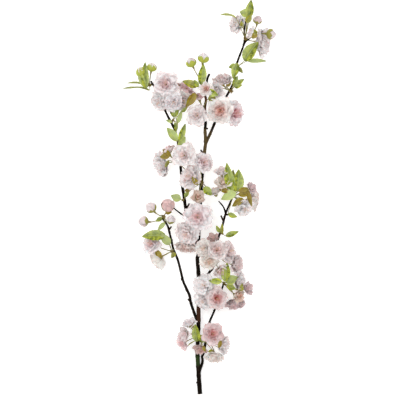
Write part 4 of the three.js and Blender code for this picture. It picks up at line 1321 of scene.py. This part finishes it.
def add_knob(shape, root, size, rng):
    """The knob of bud scales that a cluster grows from."""
    whole = Matrix.Translation(root) @ Matrix.Scale(size, 4)
    ball = bmesh.ops.create_icosphere(
        shape.bm, subdivisions=2, radius=COLLAR * KNOB_SHARE, matrix=whole)
    for vert in ball["verts"]:
        paint(shape, vert, (0.5, 0.15, 0.6))
    faces = []
    for index in range(KNOB_SCALES):
        turn = Matrix.Rotation(index * TURN, 4, "Z")
        steep = Matrix.Rotation(-rng.uniform(0.5, 1.2), 4, "Y")
        seat = whole @ turn @ Matrix.Translation((COLLAR * 0.55, 0, 0)) @ steep
        faces += add_blade(shape, seat, *KNOB_SCALE, 0.5)
    thicken(shape, faces, SCALE_THICKNESS)


def add_leaf_stalk(shape, root, start, forward, chance):
    """The stalk that joins a leaf to its knob and runs a little way under the blade."""
    points = smooth_path([leaving(root, start), start, start + forward], 2.5 * MM)

    def mark(vert, step, around):
        paint(shape, vert, (around, 0.3 + 0.5 * step / len(points), chance * 0.5))
        vert.co = above_floor(vert.co, 0.1 * MM)

    add_tube(shape, points, [LEAF_STALK] * len(points), LEAF_STALK_SIDES, mark)


def leaf_outline(along):
    """A leaf's half width, of its widest: broad near the foot, drawn out to a point."""
    if not 0 < along < 1:
        return 0
    return math.sin(math.pi * along ** 0.8) ** 0.8 * (1 - 0.35 * max(0, along - 0.6))


def add_leaf(shape, root, leaf, rng, settings):
    """A leaf: its stalk, then a toothed blade folded along the midrib and arched to its tip."""
    start = place(leaf.across, leaf.up, leaf.height)
    end = place(leaf.tip_across, leaf.tip_up, leaf.tip_height)
    axis = end - start
    length = axis.length
    axis.normalize()
    side = axis.cross(UP).normalized()
    normal = side.cross(axis)
    chance = rng.random()
    add_leaf_stalk(shape, root, start, axis * length * 0.1, chance)
    large = leaf.width > LARGE_LEAF
    rows = settings.leaf_rows if large else settings.leaf_rows // 2
    twist = rng.uniform(-0.35, 0.35)
    droop = rng.uniform(-0.02, 0.05) * length
    phase = rng.uniform(0, 6.3)
    wavy = rng.uniform(0.02, 0.05) * length * 0.5
    roll = EDGE_ROLL if leaf.tint == "edge" else rng.uniform(-0.3, 0.3)
    lit = rng.choice((-1, 1))
    sheet = new_sheet(shape, 8 if large else 4, rows)
    for vert, u, v in sheet:
        outline = leaf_outline(v)
        notched = abs(u) > 0.99 and round(v * rows) % 2 == 0
        across = u * (leaf.width * MM / 2 * outline * (0.93 if notched else 1) + MARGIN)
        lift = 0.07 * length * math.sin(math.pi * v) - droop * v ** 3 + settings.fold * abs(across)
        half_turn = 2 if u > 0 else 0
        lift += wavy * abs(u) * math.sin(2.5 * math.pi * v + phase + half_turn) * outline
        turned = Matrix.Rotation(roll + twist * v, 3, axis) @ (side * across + normal * lift)
        vert.co = above_floor(start + axis * length * v + turned, 0.4 * MM)
        # Painted light: one half of the blade is painted paler, as if it were turned to the light.
        sunny = 0.5 + 0.5 * lit * max(-1, min(1, 3 * u))
        paint(shape, vert, (u / 2 + 0.5, v, chance), (*LEAF_TINTS[leaf.tint], sunny))
    for face in thicken(shape, sheet_faces(sheet), settings.leaf):
        face.material_index = 1


def make_greenery(flowers, settings):
    """One piece for each spray: its knob, the stalks of its flowers and its leaves."""
    materials = [stalk_material(settings), leaf_material(settings)]
    for number, (spray, parts) in enumerate(SPRAYS.items()):
        rng = random.Random(SPRAY_SEED + number)
        shape = new_shape()
        root = place(*parts["spur"][1])
        borne = [flower for flower in flowers if flower.spray == spray]
        add_knob(shape, root, 1 if borne else TUFT_KNOB, rng)
        for flower in borne:
            add_flower_stalk(shape, root, flower, rng)
        for row in parts.get("leaves", ()):
            add_leaf(shape, root, Leaf(*row), rng, settings)
        add_piece(f"green_{spray}", shape, materials, f"spray_{spray}")


# ---------------------------------------------------------------- stage

VIEW_MIDDLE = Vector((0, 194.6 * GRID - 0.35 * MM, 50 * MM))  # from the cut end
VIEW_WIDTH = 398.8 * GRID
FLOOR_REACH = 30  # metres from the middle to the floor's edges
LAMP_PLACE, LAMP_WIDTH = Vector((-0.5, 0.4, 2.4)), 0.9


def board_material(settings):
    """Matt white board, faintly lit from behind so that the shadows stay soft."""
    material, tree = new_material("matt_white_board")
    where = add(tree, "TexCoord", out="Object")
    grains = add(tree, "TexNoise", {"Vector": where, "Scale": per_metre(4.0), "Detail": 2.0})
    grain = add(tree, "Math", {0: grains, 1: 0.02}, operation="MULTIPLY")
    tone = add(tree, "Mix", {
        AMOUNT: grain, UNDER: settings.floor_colour, OVER: colour("#e8e8e8")}, **COVER)
    shader = add(tree, "BsdfPrincipled", {
        "Base Color": tone, "Roughness": 0.9, "Specular IOR Level": 0.1,
        "Emission Color": (1, 1, 1, 1), "Emission Strength": settings.back_light})
    add(tree, "OutputMaterial", {"Surface": shader}, out=None)
    return material


def add_to_scene(name, data):
    item = bpy.data.objects.new(name, data)
    bpy.context.scene.collection.objects.link(item)
    return item


def make_floor(settings):
    bm = bmesh.new()
    bmesh.ops.create_grid(bm, x_segments=1, y_segments=1, size=FLOOR_REACH)
    mesh = bpy.data.meshes.new("floor")
    bm.to_mesh(mesh)
    bm.free()
    mesh.materials.append(board_material(settings))
    add_to_scene("floor", mesh)


def make_light(settings):
    """A white sky all around, and a large soft box above and to the left."""
    world = bpy.data.worlds.new("studio")
    world.use_nodes = True
    sky = world.node_tree.nodes["Background"]
    sky.inputs["Color"].default_value = (1, 1, 1, 1)
    sky.inputs["Strength"].default_value = settings.sky
    bpy.context.scene.world = world
    lamp = bpy.data.lights.new("soft_box", "AREA")
    lamp.shape = "DISK"
    lamp.size = LAMP_WIDTH
    lamp.energy = settings.lamp
    soft_box = add_to_scene("soft_box", lamp)
    soft_box.location = LAMP_PLACE
    soft_box.rotation_euler = (-LAMP_PLACE).to_track_quat("-Z", "Y").to_euler()


def make_camera(settings):
    """A camera straight above, looking down, with the whole sprig in view."""
    camera = bpy.data.cameras.new("camera")
    camera.sensor_width = 36
    camera.lens = camera.sensor_width * settings.camera_distance / VIEW_WIDTH
    camera.clip_end = 100
    view = add_to_scene("camera", camera)
    view.location = CUT_END + VIEW_MIDDLE + Vector((0, 0, settings.camera_distance))
    bpy.context.scene.camera = view


def make_stage(settings):
    make_floor(settings)
    make_light(settings)
    make_camera(settings)
    view_settings = bpy.context.scene.view_settings
    view_settings.view_transform = "Standard"
    view_settings.look = "None"


# ---------------------------------------------------------------- settings

def swatch(name, description, code):
    """A colour setting."""
    return FloatVectorProperty(name=name, description=description, default=colour(code), size=4,
                               min=0, max=1, subtype="COLOR")


def span(name, description, metres):
    """A length setting."""
    return FloatProperty(name=name, description=description, default=metres, min=0, unit="LENGTH",
                         precision=5)


def portion(name, description, value):
    """A setting from 0 to 1."""
    return FloatProperty(name=name, description=description, default=value, min=0, max=1,
                         subtype="FACTOR")


class FlowerSettings(bpy.types.PropertyGroup):
    petal: span("Petal thickness", "Thickness of a petal", 0.28 * MM)
    ruffle: FloatProperty(name="Ruffle", description="How far petal rims wave", default=1.0, min=0)
    glow: portion("Glow", "How much light passes through petals", 0.4)
    rim_shade: portion("Rim shade", "How grey petal rims are", 0.65)
    rim: swatch("Rim", "Petals' palest colour", "#f8f6f7")
    blush: swatch("Blush", "Petals' pale pink", "#f1dadd")
    rose: swatch("Rose", "Petals' full pink", "#e7b4ba")
    heart: swatch("Heart", "Petals' deepest colour", "#c96e72")
    warm_heart: swatch("Warm heart", "Deepest colour of warm-toned blooms", "#cf8560")
    lilac: swatch("Lilac", "Grey lilac that shades petals", "#bcb2b1")


class LeafSettings(bpy.types.PropertyGroup):
    leaf: span("Leaf thickness", "Thickness of a leaf", 0.35 * MM)
    fold: FloatProperty(name="Fold", description="How far a leaf's halves lift", default=0.32)
    leaf_rows: IntProperty(name="Rows", description="Rows along a large leaf, two to a tooth",
                           default=20, min=4)
    side_veins: FloatProperty(name="Side veins", description="Side veins along a leaf", default=8.0)
    leaf_colour: swatch("Leaf", "Young leaf", "#b4ba38")
    leaf_dark: swatch("Dark leaf", "A leaf's shaded parts", "#52600c")
    # Besides veins and undersides, this pale colour paints the light on the sunny half of a folded
    # blade.
    leaf_pale: swatch("Pale leaf", "Veins and undersides", "#bac58a")
    leaf_olive: swatch("Olive leaf", "The few bronzed leaves", "#8a6018")
    stalk: swatch("Stalk", "Flower stalk", "#81853a")
    calyx: swatch("Calyx", "Calyx and sepals", "#857f2c")
    bud_scale: swatch("Bud scale", "Sepals round a closed bud", "#9fa636")


class BarkSettings(bpy.types.PropertyGroup):
    bark: swatch("Bark", "Bark", "#140d08")
    bark_dark: swatch("Dark bark", "Bark's darkest streaks", "#060403")
    bark_light: swatch("Light bark", "Bark's palest streaks", "#2a2019")
    bark_ruddy: swatch("Ruddy bark", "Red-brown young bark", "#6a4230")
    pore: swatch("Pores", "The pale pores in rings", "#4f3f31")


class StageSettings(bpy.types.PropertyGroup):
    sky: FloatProperty(name="Sky", description="Strength of the light from all around", default=1.1)
    lamp: FloatProperty(name="Lamp", description="Power of the soft box", default=12, unit="POWER")
    camera_distance: span("Camera distance", "From the camera to the sprig", 8)
    back_light: FloatProperty(name="Back light", description="How far the board glows", default=0.3)
    floor_colour: swatch("Floor", "The board's colour", "#fdfdfd")


# ---------------------------------------------------------------- operators and panel

class SPRIG_OT_stage(bpy.types.Operator):
    """Set up the floor, the light and the camera"""

    bl_idname = "sprig.stage"
    bl_label = "Stage"

    def execute(self, context):
        make_stage(context.scene.sprig_stage)
        return {"FINISHED"}


class SPRIG_OT_bark(bpy.types.Operator):
    """Model the branch's bark"""

    bl_idname = "sprig.bark"
    bl_label = "Bark"

    def execute(self, context):
        make_bark(context.scene.sprig_bark)
        return {"FINISHED"}


class SPRIG_OT_greenery(bpy.types.Operator):
    """Model the knobs, stalks, calyxes and leaves"""

    bl_idname = "sprig.greenery"
    bl_label = "Stalks and leaves"

    def execute(self, context):
        make_greenery(list_flowers(), context.scene.sprig_leaves)
        return {"FINISHED"}


class SPRIG_OT_blooms(bpy.types.Operator):
    """Model the petals of the blooms and buds"""

    bl_idname = "sprig.blooms"
    bl_label = "Blooms and buds"

    def execute(self, context):
        make_blooms(list_flowers(), context.scene.sprig_flowers)
        return {"FINISHED"}


class SPRIG_PT_panel(bpy.types.Panel):
    """The steps that make the sprig"""

    bl_idname = "SPRIG_PT_panel"
    bl_label = "Cherry blossom sprig"
    bl_space_type = "VIEW_3D"
    bl_region_type = "UI"
    bl_category = "Sprig"

    def draw(self, context):
        for group, _, operator in STEPS:
            self.layout.operator(operator.bl_idname)
            settings = getattr(context.scene, group)
            for name in settings.__annotations__:
                self.layout.prop(settings, name)


# Each step's settings, as they are named in a scene, and the operator that reads them.
STEPS = (
    ("sprig_stage", StageSettings, SPRIG_OT_stage),
    ("sprig_bark", BarkSettings, SPRIG_OT_bark),
    ("sprig_leaves", LeafSettings, SPRIG_OT_greenery),
    ("sprig_flowers", FlowerSettings, SPRIG_OT_blooms),
)


def register():
    for group, settings, operator in STEPS:
        bpy.utils.register_class(settings)
        bpy.utils.register_class(operator)
        setattr(bpy.types.Scene, group, PointerProperty(type=settings))
    bpy.utils.register_class(SPRIG_PT_panel)


def unregister():
    bpy.utils.unregister_class(SPRIG_PT_panel)
    for group, settings, operator in reversed(STEPS):
        delattr(bpy.types.Scene, group)
        bpy.utils.unregister_class(operator)
        bpy.utils.unregister_class(settings)


def main():
    register()
    bpy.ops.sprig.stage()
    bpy.ops.sprig.bark()
    bpy.ops.sprig.greenery()
    bpy.ops.sprig.blooms()


if __name__ == "__main__":
    main()
